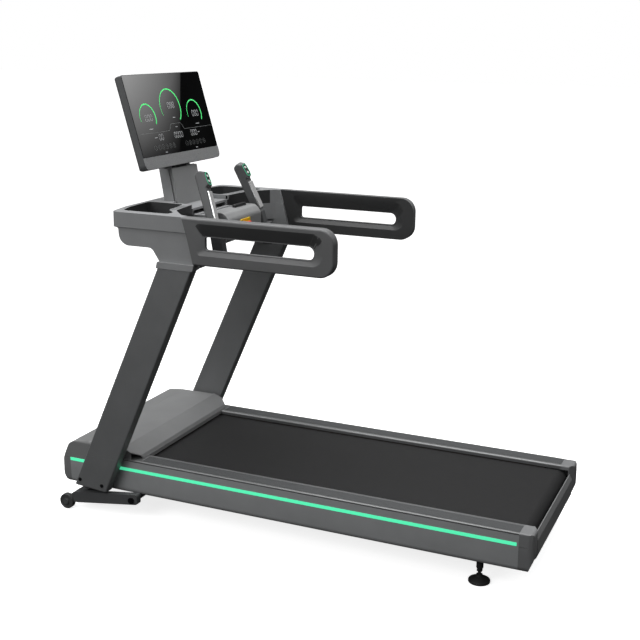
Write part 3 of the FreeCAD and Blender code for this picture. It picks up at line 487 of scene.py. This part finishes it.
class FacePlane:
    """The flat face of a node that looks one way, with its own sideways and upward axes."""

    def __init__(self, node, toward, foot_node=None):
        toward = Vector(toward).normalized()
        mesh = NODES[node].data
        best = max(mesh.polygons, key=lambda p: p.area * max(p.normal.dot(toward), 0) ** 8)
        self.normal = best.normal.copy()
        self.side = Vector((1, 0, 0))
        self.up = self.normal.cross(self.side)
        if self.up.z < 0:
            self.up = -self.up
        self.origin = Vector(best.center)
        self.origin -= self.side * self.origin.dot(self.side)
        foot = NODES[foot_node or node].data
        lowest = min(v.co.dot(self.up) for v in foot.vertices)
        self.origin += self.up * (lowest - self.origin.dot(self.up))

    def matrix(self, x, height, proud=0.0, roll=0.0):
        """A place on the face: X sideways, Y up the face, Z out of it."""
        side = self.side
        if side.cross(self.up).dot(self.normal) < 0:
            side = -side
        basis = Matrix((side, self.up, self.normal)).transposed().to_4x4()
        place = self.origin + self.side * x + self.up * height + self.normal * proud
        return Matrix.Translation(place) @ basis @ Matrix.Rotation(roll, 4, "Z")


# ---- operators ------------------------------------------------------------------------
class TREADMILL_OT_stage(bpy.types.Operator):
    """Set up the camera, the pale floor and the soft studio light"""
    bl_idname = "treadmill.stage"
    bl_label = "Studio stage"

    FLOOR_DROP = 0.5 * MM
    FLOOR_GLOW = 0.8
    SKY_STRENGTH = 0.75
    # grey of the sky between straight down, 0, and straight up, 1
    SKY_ENDS = (0.02, 1.0)
    SKY_STOPS = ((0.48, 0.03), (0.56, 0.12), (0.75, 0.42))
    # name, place, the point it faces, its width and height, watts
    LAMPS = (
        ("overhead_box", (0.3, 0.6, 4.2), (0.0, 0.2, 0.6), 4.5, 3.5, 170.0),
        ("near_side_box", (-4.2, 1.6, 2.9), (0.0, 0.2, 0.7), 2.6, 2.2, 70.0),
        ("runner_side_box", (0.6, -3.8, 3.6), (0.0, 0.3, 1.2), 2.2, 2.0, 14.0),
    )
    # the card's two halves as they show in the glass: across, up, and the shade there (u, v)
    CARD_LIT = ((0.171, 0.42, 0, 1), (-0.045, 0.0, 0, 0), (-0.40, 0.0, 1, 0), (-0.40, 0.42, 1, 1))
    CARD_DARK = ((0.45, 0.42, 0, 0), (0.45, 0.0, 0, 0), (-0.045, 0.0, 0, 0), (0.171, 0.42, 0, 0))
    # along each axis of the shade: where it starts, where it is full, its level at the start
    CARD_SHADES = (("X", 0.0, 0.75, 0.14), ("Y", 0.05, 0.9, 0.04))

    def execute(self, context):
        s = getattr(context.scene, SCENE_KEY + "_stage")
        context.scene.view_settings.view_transform = "Standard"
        self.make_camera(context, s)
        self.make_floor(context, s)
        self.make_world(context)
        self.make_lights(context)
        self.make_card(context, s)
        return {"FINISHED"}

    def make_camera(self, context, s):
        data = bpy.data.cameras.new("studio camera")
        data.sensor_width = 36.0
        data.lens = s.lens
        data.clip_end = 200.0
        camera = bpy.data.objects.new("studio_camera", data)
        yaw = Matrix.Rotation(s.camera_yaw, 4, "Z")
        pitch = Matrix.Rotation(s.camera_pitch + math.pi / 2, 4, "X")
        roll = Matrix.Rotation(s.camera_roll, 4, "Z")
        camera.matrix_world = Matrix.Translation(s.camera_place) @ (yaw @ pitch) @ roll
        context.scene.collection.objects.link(camera)
        context.scene.camera = camera

    def make_floor(self, context, s):
        bm = bmesh.new()
        bmesh.ops.create_grid(bm, x_segments=1, y_segments=1, size=s.floor_half)
        mesh = bpy.data.meshes.new("studio_floor")
        bm.to_mesh(mesh)
        bm.free()
        recipe = Recipe("studio floor")
        recipe.tint(recipe.noise(0.6), (0.9, 0.9, 0.9), 0.01)
        recipe.sheen_range(recipe.noise(3.0), 0.7, 0.8)
        recipe.set(Specular_IOR_Level=0.1, Emission_Color=(1, 1, 1, 1),
                   Emission_Strength=self.FLOOR_GLOW)
        mesh.materials.append(recipe.material)
        floor = bpy.data.objects.new("studio_floor", mesh)
        floor.location.z = -self.FLOOR_DROP
        floor.visible_diffuse = False
        floor.visible_glossy = False
        context.scene.collection.objects.link(floor)

    def make_world(self, context):
        world = bpy.data.worlds.new("studio")
        world.use_nodes = True
        nodes, links = world.node_tree.nodes, world.node_tree.links
        sky = next(n for n in nodes if n.type == "BACKGROUND")
        out = next(n for n in nodes if n.type == "OUTPUT_WORLD")
        coord = nodes.new("ShaderNodeTexCoord")
        split = nodes.new("ShaderNodeSeparateXYZ")
        ramp = nodes.new("ShaderNodeValToRGB")
        reach = nodes.new("ShaderNodeMapRange")
        reach.inputs["From Min"].default_value = -1.0
        for end, grey in zip(ramp.color_ramp.elements, self.SKY_ENDS):
            end.color = (grey, grey, grey, 1)
        for position, grey in self.SKY_STOPS:
            stop = ramp.color_ramp.elements.new(position)
            stop.color = (grey, grey, grey, 1)
        links.new(coord.outputs["Generated"], split.inputs[0])
        links.new(split.outputs["Z"], reach.inputs["Value"])
        links.new(reach.outputs["Result"], ramp.inputs["Fac"])
        links.new(ramp.outputs["Color"], sky.inputs["Color"])
        sky.inputs["Strength"].default_value = self.SKY_STRENGTH
        plain = nodes.new("ShaderNodeBackground")
        plain.inputs["Color"].default_value = (1, 1, 1, 1)
        path = nodes.new("ShaderNodeLightPath")
        mix = nodes.new("ShaderNodeMixShader")
        links.new(path.outputs["Is Camera Ray"], mix.inputs["Fac"])
        links.new(sky.outputs[0], mix.inputs[1])
        links.new(plain.outputs[0], mix.inputs[2])
        links.new(mix.outputs[0], out.inputs["Surface"])
        context.scene.world = world

    def make_lights(self, context):
        for name, place, target, wide, tall, watts in self.LAMPS:
            data = bpy.data.lights.new(name, "AREA")
            data.shape = "RECTANGLE"
            data.size, data.size_y = wide, tall
            data.energy = watts
            lamp = bpy.data.objects.new(name, data)
            lamp.location = place
            aim = Vector(target) - Vector(place)
            lamp.rotation_euler = aim.to_track_quat("-Z", "Y").to_euler()
            lamp.visible_camera = False
            context.scene.collection.objects.link(lamp)

    def make_card(self, context, s):
        """A shaded card that only reflections see, with its straight edge showing in the glass."""
        glass = FacePlane("display_glass", (0, -1, 0.3), "display_strip")
        eye = Vector(s.camera_place)
        mirrored_eye = eye - glass.normal * (2 * (eye - glass.origin).dot(glass.normal))
        bm = bmesh.new()
        layer = bm.loops.layers.uv.new("shade")
        for half in (self.CARD_LIT, self.CARD_DARK):
            corners = []
            for x, height, _, _ in half:
                spot = glass.matrix(x, height).translation
                corners.append(spot + (spot - mirrored_eye).normalized() * s.card_distance)
            face = bm.faces.new([bm.verts.new(corner) for corner in corners])
            for loop, (_, _, u, v) in zip(face.loops, half):
                loop[layer].uv = (u, v)
        mesh = bpy.data.meshes.new("reflection_card")
        bm.to_mesh(mesh)
        bm.free()
        recipe = Recipe("reflection card")
        split = recipe.node("ShaderNodeSeparateXYZ")
        recipe.link(recipe.node("ShaderNodeTexCoord").outputs["UV"], split.inputs[0])
        shades = []
        for axis, start, end, low in self.CARD_SHADES:
            shade = recipe.node("ShaderNodeMapRange", from_min=start, from_max=end, to_min=low)
            recipe.link(split.outputs[axis], shade.inputs["Value"])
            shades.append(shade.outputs["Result"])
        glow = recipe.node("ShaderNodeEmission")
        level = recipe.node("ShaderNodeMath", operation="MULTIPLY")
        level.inputs[1].default_value = s.card_light
        recipe.link(recipe.times(*shades), level.inputs[0])
        recipe.link(level.outputs[0], glow.inputs["Strength"])
        out = next(n for n in recipe.nodes if n.type == "OUTPUT_MATERIAL")
        recipe.link(glow.outputs[0], out.inputs["Surface"])
        mesh.materials.append(recipe.material)
        card = bpy.data.objects.new("reflection_card", mesh)
        card.visible_camera = False
        card.visible_diffuse = False
        card.visible_shadow = False
        context.scene.collection.objects.link(card)


class TREADMILL_OT_finishes(bpy.types.Operator):
    """Mix every paint, plastic, metal, rubber and glass"""
    bl_idname = "treadmill.finishes"
    bl_label = "Finishes"

    def execute(self, context):
        mix_finishes()
        return {"FINISHED"}


class TREADMILL_OT_running_deck(bpy.types.Operator):
    """Dress the belt, its rollers, the deck board and the steel frame"""
    bl_idname = "treadmill.running_deck"
    bl_label = "Running deck"

    def execute(self, context):
        softened("running_belt", "belt cover", 0.6 * MM, segments=2)
        dress("deck_board", "deck board")
        dress("deck_cushions", "soft rubber")
        for turned in ("front_roller", "rear_roller", "roller_axles", "roller_bearings"):
            dress(turned, "turned steel")
        softened("base_frame", "frame paint", details().sheet_edge, segments=2)
        dress("frame_bolts", "bolt black")
        return {"FINISHED"}


class TREADMILL_OT_side_rails(bpy.types.Operator):
    """Dress the side skins, light strips, foot rails and their inserts"""
    bl_idname = "treadmill.side_rails"
    bl_label = "Side rails"

    def execute(self, context):
        edge = details().sheet_edge
        # the skins take the lit copy of the charcoal coat, painted light
        softened("side_skins", "skin charcoal painted lighter", edge * 0.5, segments=2)
        dress("light_strips", "strip light")
        softened("foot_rails", "rail metal", edge, edge * 0.4, segments=3)
        dress("rail_inserts", "rail insert")
        return {"FINISHED"}


class TREADMILL_OT_rear_end(bpy.types.Operator):
    """Dress the rear caps and the guard behind the rear roller"""
    bl_idname = "treadmill.rear_end"
    bl_label = "Rear end"

    def execute(self, context):
        edge = details().moulded_edge
        softened("rear_caps", "cap plastic", edge * 2, edge * 0.4)
        softened("rear_guard", "pale plastic", 0.6 * MM)
        return {"FINISHED"}


class TREADMILL_OT_motor_cover(bpy.types.Operator):
    """Dress the hood, its trim bar and the front cover"""
    bl_idname = "treadmill.motor_cover"
    bl_label = "Motor cover"

    def execute(self, context):
        edge = details().moulded_edge
        softened("hood_cover", "pale plastic", edge * 2, edge * 0.3)
        softened("front_cover", "pale plastic", edge * 0.3)
        softened("hood_trim", "pale plastic", edge, edge * 0.4)
        dress("base_pan", "frame paint")
        return {"FINISHED"}


class TREADMILL_OT_drive(bpy.types.Operator):
    """Dress the drive motor, its belt, the controller and the power inlet"""
    bl_idname = "treadmill.drive"
    bl_label = "Drive"

    def execute(self, context):
        dress("drive_motor", "motor enamel")
        dress("motor_rotor", "turned steel")
        dress("drive_belt", "soft rubber")
        dress("motor_controller", "cast aluminium")
        for fitting in ("power_inlet", "power_switch", "breaker_button"):
            softened(fitting, "black plastic", 0.4 * MM, segments=2)
        return {"FINISHED"}


class TREADMILL_OT_lift(bpy.types.Operator):
    """Dress the lift frame, its wheels, motor and screw"""
    bl_idname = "treadmill.lift"
    bl_label = "Incline lift"

    def execute(self, context):
        softened("lift_frame", "arm paint", details().sheet_edge, segments=2)
        dress("lift_motor", "motor enamel")
        dress("lift_screw", "turned steel")
        for side in ("left", "right"):
            softened("wheel_" + side, "tyre rubber", 1.0 * MM)
        return {"FINISHED"}


class TREADMILL_OT_rear_feet(bpy.types.Operator):
    """Dress the levelling feet"""
    bl_idname = "treadmill.rear_feet"
    bl_label = "Levelling feet"

    def execute(self, context):
        for side in ("left", "right"):
            softened("rear_foot_" + side, "foot rubber", 0.6 * MM, segments=2)
        return {"FINISHED"}


class TREADMILL_OT_uprights(bpy.types.Operator):
    """Dress the uprights and the collars at their tops"""
    bl_idname = "treadmill.uprights"
    bl_label = "Uprights"

    def execute(self, context):
        for side in ("left", "right"):
            softened("upright_" + side, "charcoal paint", 0.5 * MM, segments=2)
        softened("upright_collars", "pod plastic", details().moulded_edge * 0.5)
        return {"FINISHED"}


class TREADMILL_OT_console(bpy.types.Operator):
    """Dress the console tray with its pockets, with shade painted dark inside them, and the cover
    under it
    """
    bl_idname = "treadmill.console"
    bl_label = "Console"

    POCKET_NEAR, POCKET_FAR = 0.08, 0.014       # from the tray's near and far edges
    RIBS = 4
    RIB_PLACE, RIB_STEP = (0.246, 0.481), 0.006
    RIB_HALF = (0.056, 0.0013)
    RIB_FOOT, RIB_HEIGHT = 0.001, 0.0016
    RIB_LEAN = math.atan2(0.013, 0.110)

    def execute(self, context):
        edge = details().pod_edge
        tray = softened("console_tray", "pod plastic", edge, edge * 0.25)
        (_, low, floor), (_, high, top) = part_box("console_tray")
        pocket = details().pocket_reach

        def in_pocket(face):
            x, y, z = face.center
            return (pocket[0] < abs(x) < pocket[1]
                    and low + self.POCKET_NEAR < y < high - self.POCKET_FAR
                    and floor < z < top - 1.0 * MM)
        # painted shade: the pockets' walls and floors get the near-black coat
        repaint(tray, "pocket painted shade", in_pocket)
        self.rest_ribs(top)
        softened("console_lower_cover", "pod plastic", edge, edge * 0.3)
        return {"FINISHED"}

    def rest_ribs(self, top):
        """Low ribs behind each pocket that keep a phone from sliding."""
        bm = bmesh.new()
        (x, y), (half_x, half_y) = self.RIB_PLACE, self.RIB_HALF
        for side in (-1, 1):
            for row in range(self.RIBS):
                place = Matrix.Translation((x * side, y + self.RIB_STEP * row, top))
                block(bm, (-half_x, -half_y, -self.RIB_FOOT), (half_x, half_y, self.RIB_HEIGHT),
                      0.8 * MM, turn=place @ Matrix.Rotation(-self.RIB_LEAN * side, 4, "Z"))
        piece("phone_rest_ribs", bm, "treadmill", "pod plastic")


class TREADMILL_OT_handrails(bpy.types.Operator):
    """Dress the slotted handrails, with shade painted dark on their inner sides and under the
    recess's upper lip
    """
    bl_idname = "treadmill.handrails"
    bl_label = "Handrails"

    LIP_DEPTH = 0.062           # how far below the top the recess's upper lip reaches
    PAINTED_SHADE_DEPTH = 0.012        # how far in from the inner side the painted shade shows

    def execute(self, context):
        for side, sign in (("left", 1), ("right", -1)):
            rail = softened("handrail_" + side, "handrail plastic", 3.0 * MM, 0.8 * MM)
            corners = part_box("handrail_" + side)
            inner, outer = sorted(abs(corner[0]) for corner in corners)
            hollow = corners[1][2] - self.LIP_DEPTH

            # painted shade: inner-side faces that look toward the middle, and down-facing faces
            # under the recess's upper lip
            def in_painted_shade(face):
                reach = abs(face.center.x)
                inside = face.normal.x * sign > 0.3 and reach < inner + self.PAINTED_SHADE_DEPTH
                lip = (face.normal.z < -0.1 and face.center.z > hollow
                       and inner + 1.0 * MM < reach < outer - 1.0 * MM)
                return inside or lip
            repaint(rail, "handrail painted shade", in_painted_shade)
        return {"FINISHED"}


class TREADMILL_OT_grips(bpy.types.Operator):
    """Dress the hand grips, their pulse plates, lit rings and thumb buttons"""
    bl_idname = "treadmill.grips"
    bl_label = "Hand grips"

    # half length, half width and reach of the black face inside the lit ring
    FACE_HALF = (0.0236, 0.0121)
    FACE_REACH = 0.026

    def execute(self, context):
        for side in ("left", "right"):
            self.handle(side)
        softened("grip_supports", "frame paint", 1.5 * MM)
        softened("pulse_plates", "pulse metal", 1.2 * MM)
        dress("grip_light_rings", "ring light")
        for level in ("upper", "lower"):
            for side in ("left", "right"):
                dress("grip_button_%s_%s" % (level, side), "button white")
        return {"FINISHED"}

    def handle(self, side):
        """One grip, with a black face inside its lit ring."""
        grip = softened("grip_" + side, "grip skin", 1.0 * MM, segments=2)
        upper, lower = (middle("grip_button_%s_%s" % (level, side)) for level in ("upper", "lower"))
        centre = (upper + lower) / 2
        along = (upper - lower).normalized()
        outward = max((face for face in NODES["grip_button_upper_" + side].data.polygons
                       if face.normal.y < 0), key=lambda face: face.area).normal
        across = along.cross(outward)

        def in_ring(face):
            way = face.center - centre
            half_long, half_wide = self.FACE_HALF
            return (abs(way.dot(along)) < half_long and abs(way.dot(across)) < half_wide
                    and face.normal.dot(outward) > 0.8 and way.length < self.FACE_REACH)
        repaint(grip, "black plastic", in_ring)


class TREADMILL_OT_centre_module(bpy.types.Operator):
    """Dress the centre module, the stop button and the safety key"""
    bl_idname = "treadmill.centre_module"
    bl_label = "Centre module"

    def execute(self, context):
        softened("centre_module", "module plastic", details().moulded_edge)
        softened("stop_plate", "stop yellow", 0.8 * MM)
        softened("stop_button", "stop red", 0.8 * MM)
        softened("safety_key", "black plastic", 1.0 * MM)
        return {"FINISHED"}


class TREADMILL_OT_neck(bpy.types.Operator):
    """Dress the post and the covers of the display's neck"""
    bl_idname = "treadmill.neck"
    bl_label = "Neck"

    def execute(self, context):
        softened("neck_post", "frame paint", 1.0 * MM, segments=2)
        softened("neck_front_cover", "module plastic", details().moulded_edge)
        softened("neck_rear_cover", "neck plastic", details().moulded_edge * 1.5)
        return {"FINISHED"}


class TREADMILL_OT_display(bpy.types.Operator):
    """Dress the display and lay its gauges, digits and keys on the glass"""
    bl_idname = "treadmill.display"
    bl_label = "Display"

    # segments lit for the figures 0 to 9, in the order top, top right, lower right, bottom,
    # lower left, top left, middle
    LIT = {"0": "1111110", "1": "0110000", "2": "1101101", "3": "1111001", "4": "0110011",
           "5": "1011011", "6": "1011111", "7": "1110000", "8": "1111111", "9": "1111011"}
    # where each of those segments stands, in half figures from the middle, and if it is upright
    SEGMENTS = ((0, 1, False), (0.5, 0.5, True), (0.5, -0.5, True), (0, -1, False),
                (-0.5, -0.5, True), (-0.5, 0.5, True), (0, 0, False))
    # a figure's width, the step to the next, a segment's thickness, all against the height
    FIGURE_WIDE, FIGURE_STEP, SEGMENT_THICK = 0.52, 0.78, 0.1
    SEGMENT_FILL = 0.86
    # places on the glass are across from the middle and up from the foot of the strip, in metres
    # name, across, up, radius, start and sweep in degrees
    GAUGES = (("left", -0.185, 0.196, 0.0545, -30, 224),
              ("centre", -0.004, 0.229, 0.0735, -46, 250),
              ("right", 0.168, 0.196, 0.0545, -32, 226))
    GAUGE_STEPS = 56
    TAPER_FROM, TAPER_OVER, TAPER_LOSS = 0.55, 0.45, 0.75
    # name, text, across, up, size against the digit height
    FIGURES = (("left", "000", -0.181, 0.196, 1.0), ("centre", "088", 0.001, 0.237, 1.0),
               ("right", "080", 0.173, 0.195, 1.0), ("lower_left", "00", -0.128, 0.117, 0.95),
               ("lower_centre", "0000", 0.003, 0.117, 0.95),
               ("lower_right", "000", 0.124, 0.117, 0.95))
    # name and the first key's place across
    KEY_ROWS = (("left", -0.187), ("right", 0.049))
    KEYS, KEY_STEP, KEY_UP = 6, 0.0275, 0.078
    KEY_RING, KEY_FIGURE = (0.0098, 0.0092), 0.009
    DIVIDER = ((-0.273, 0.137), (-0.056, 0.137), (-0.034, 0.163), (0.038, 0.163),
               (0.060, 0.137), (0.275, 0.137))
    DIVIDER_THICK = 1.3 * MM
    # across, up, width
    LABEL_BARS = ((-0.183, 0.152, 0.026), (0.002, 0.187, 0.018), (0.172, 0.152, 0.026),
                  (0.003, 0.149, 0.014), (-0.165, 0.117, 0.018), (0.163, 0.117, 0.014),
                  (-0.118, 0.056, 0.014), (0.118, 0.056, 0.014))
    LABEL_TALL = 2.6 * MM
    PRINT_THICK, PRINT_PROUD = 0.25 * MM, 0.05 * MM

    def execute(self, context):
        softened("display_housing", "display shell", details().moulded_edge * 1.5, 0.5 * MM)
        softened("display_glass", "cover glass", 0.6 * MM, segments=2)
        softened("display_strip", "knurled strip", 0.6 * MM, segments=2)
        dress("display_board", "circuit laminate")
        self.face = FacePlane("display_glass", (0, -1, 0.3), "display_strip")
        self.gauges()
        self.figures()
        self.lines()
        return {"FINISHED"}

    def sheet(self, bm, x, height):
        """Thicken what was drawn flat and stand it on the glass."""
        bmesh.ops.recalc_face_normals(bm, faces=bm.faces)
        grown = bmesh.ops.extrude_face_region(bm, geom=bm.faces[:])
        moved = [v for v in grown["geom"] if isinstance(v, bmesh.types.BMVert)]
        bmesh.ops.translate(bm, vec=(0, 0, self.PRINT_THICK), verts=moved)
        bmesh.ops.recalc_face_normals(bm, faces=bm.faces)
        place = self.face.matrix(x, height, self.PRINT_PROUD)
        bmesh.ops.transform(bm, matrix=place, verts=bm.verts)

    def gauges(self):
        width = details().arc_width
        for name, x, height, radius, start, sweep in self.GAUGES:
            bm = bmesh.new()
            inner = bm.verts.new((radius - width / 2, 0, 0))
            outer = bm.verts.new((radius + width / 2, 0, 0))
            edge = bm.edges.new((inner, outer))
            turn = Matrix.Rotation(math.radians(start), 3, "Z")
            bmesh.ops.rotate(bm, matrix=turn, verts=[inner, outer])
            bmesh.ops.spin(bm, geom=[inner, outer, edge], cent=(0, 0, 0), axis=(0, 0, 1),
                           angle=math.radians(sweep), steps=self.GAUGE_STEPS)
            for vert in bm.verts:
                angle = math.degrees(math.atan2(vert.co.y, vert.co.x))
                gone = ((angle - start) % 360) / sweep
                taper = 1.0 - self.TAPER_LOSS * max(0.0, gone - self.TAPER_FROM) / self.TAPER_OVER
                far = vert.co.length
                vert.co = vert.co.normalized() * (radius + (far - radius) * taper)
            self.sheet(bm, x, height)
            piece("gauge_arc_" + name, bm, "treadmill", "gauge light")

    def bar(self, bm, x, y, long, thick, upright):
        """One lit segment: a short bar with pointed ends."""
        made = bmesh.ops.create_circle(bm, cap_ends=True, segments=6, radius=thick / 2)["verts"]
        step = (long - thick) / 2
        for vert in made:
            if abs(vert.co.x) > thick * 0.01:
                vert.co.x += math.copysign(step, vert.co.x)
        if upright:
            bmesh.ops.rotate(bm, matrix=Matrix.Rotation(math.pi / 2, 3, "Z"), verts=made)
        bmesh.ops.translate(bm, vec=(x, y, 0), verts=made)

    def figure(self, bm, text, x, tall):
        """A row of seven-segment figures with its middle at x, 0."""
        wide = tall * self.FIGURE_WIDE
        step = tall * self.FIGURE_STEP
        thick = tall * self.SEGMENT_THICK
        start = x - step * (len(text) - 1) / 2
        for i, letter in enumerate(text):
            place = start + i * step
            for on, (a, b, upright) in zip(self.LIT[letter], self.SEGMENTS):
                if on == "0":
                    continue
                along = (tall / 2 if upright else wide) * self.SEGMENT_FILL
                self.bar(bm, place + a * wide, b * tall / 2, along, thick, upright)

    def figures(self):
        tall = details().digit_height
        for name, text, x, height, size in self.FIGURES:
            bm = bmesh.new()
            self.figure(bm, text, 0.0, tall * size)
            self.sheet(bm, x, height)
            piece("figures_" + name, bm, "treadmill", "digit light")
        for name, start in self.KEY_ROWS:
            bm = bmesh.new()
            for i in range(self.KEYS):
                self.key_icon(bm, start + i * self.KEY_STEP, str(i + 1))
            self.sheet(bm, 0.0, self.KEY_UP)
            piece("key_icons_" + name, bm, "treadmill", "faint light")

    def key_icon(self, bm, x, figure):
        """A soft key: a thin ring round one figure."""
        outer, inner = (bm.verts.new((x + radius, 0, 0)) for radius in self.KEY_RING)
        edge = bm.edges.new((outer, inner))
        bmesh.ops.spin(bm, geom=[outer, inner, edge], cent=(x, 0, 0), axis=(0, 0, 1),
                       angle=2 * math.pi, steps=24, use_merge=True)
        self.figure(bm, figure, x, self.KEY_FIGURE)

    def strip(self, bm, wide, tall, place, angle=0.0):
        """A flat bar on the drawing, turned about its middle."""
        made = bmesh.ops.create_grid(bm, x_segments=1, y_segments=1, size=0.5)["verts"]
        bmesh.ops.scale(bm, vec=(wide, tall, 1), verts=made)
        if angle:
            bmesh.ops.rotate(bm, matrix=Matrix.Rotation(angle, 3, "Z"), verts=made)
        bmesh.ops.translate(bm, vec=(*place, 0), verts=made)

    def lines(self):
        """The divider across the glass and the plain bars under the figures."""
        bm = bmesh.new()
        thick = self.DIVIDER_THICK
        for (x0, h0), (x1, h1) in zip(self.DIVIDER, self.DIVIDER[1:]):
            run = math.hypot(x1 - x0, h1 - h0)
            self.strip(bm, run + thick * 0.4, thick, ((x0 + x1) / 2, (h0 + h1) / 2),
                       math.atan2(h1 - h0, x1 - x0))
        self.sheet(bm, 0.0, 0.0)
        piece("divider_line", bm, "treadmill", "faint light")
        bm = bmesh.new()
        for x, height, wide in self.LABEL_BARS:
            self.strip(bm, wide, self.LABEL_TALL, (x, height))
        self.sheet(bm, 0.0, 0.0)
        piece("label_bars", bm, "treadmill", "digit light")


OPERATORS = (
    TREADMILL_OT_stage, TREADMILL_OT_finishes, TREADMILL_OT_running_deck, TREADMILL_OT_side_rails,
    TREADMILL_OT_rear_end, TREADMILL_OT_motor_cover, TREADMILL_OT_drive, TREADMILL_OT_lift,
    TREADMILL_OT_rear_feet, TREADMILL_OT_uprights, TREADMILL_OT_console, TREADMILL_OT_handrails,
    TREADMILL_OT_grips, TREADMILL_OT_centre_module, TREADMILL_OT_neck, TREADMILL_OT_display,
)
GROUPS = (("finishes", TREADMILL_PG_finishes), ("details", TREADMILL_PG_details),
          ("stage", TREADMILL_PG_stage))


class TREADMILL_PT_sidebar(bpy.types.Panel):
    """The treadmill's settings and the steps that dress it"""
    bl_idname = "TREADMILL_PT_sidebar"
    bl_label = "Treadmill"
    bl_space_type = "VIEW_3D"
    bl_region_type = "UI"
    bl_category = "Treadmill"

    def draw(self, context):
        layout = self.layout
        for operator in OPERATORS:
            layout.operator(operator.bl_idname, text=operator.bl_label)
        for key, group in GROUPS:
            box = layout.box()
            box.label(text=key.title())
            values = getattr(context.scene, SCENE_KEY + "_" + key)
            for name in group.__annotations__:
                box.prop(values, name)


def register():
    for _, group in GROUPS:
        bpy.utils.register_class(group)
    for key, group in GROUPS:
        setattr(bpy.types.Scene, SCENE_KEY + "_" + key, bpy.props.PointerProperty(type=group))
    for operator in OPERATORS:
        bpy.utils.register_class(operator)
    bpy.utils.register_class(TREADMILL_PT_sidebar)


def unregister():
    bpy.utils.unregister_class(TREADMILL_PT_sidebar)
    for operator in reversed(OPERATORS):
        bpy.utils.unregister_class(operator)
    for key, group in reversed(GROUPS):
        delattr(bpy.types.Scene, SCENE_KEY + "_" + key)
        bpy.utils.unregister_class(group)


def main():
    register()
    for operator in OPERATORS:
        family, step = operator.bl_idname.split(".")
        getattr(getattr(bpy.ops, family), step)()


if __name__ == "__main__":
    main()
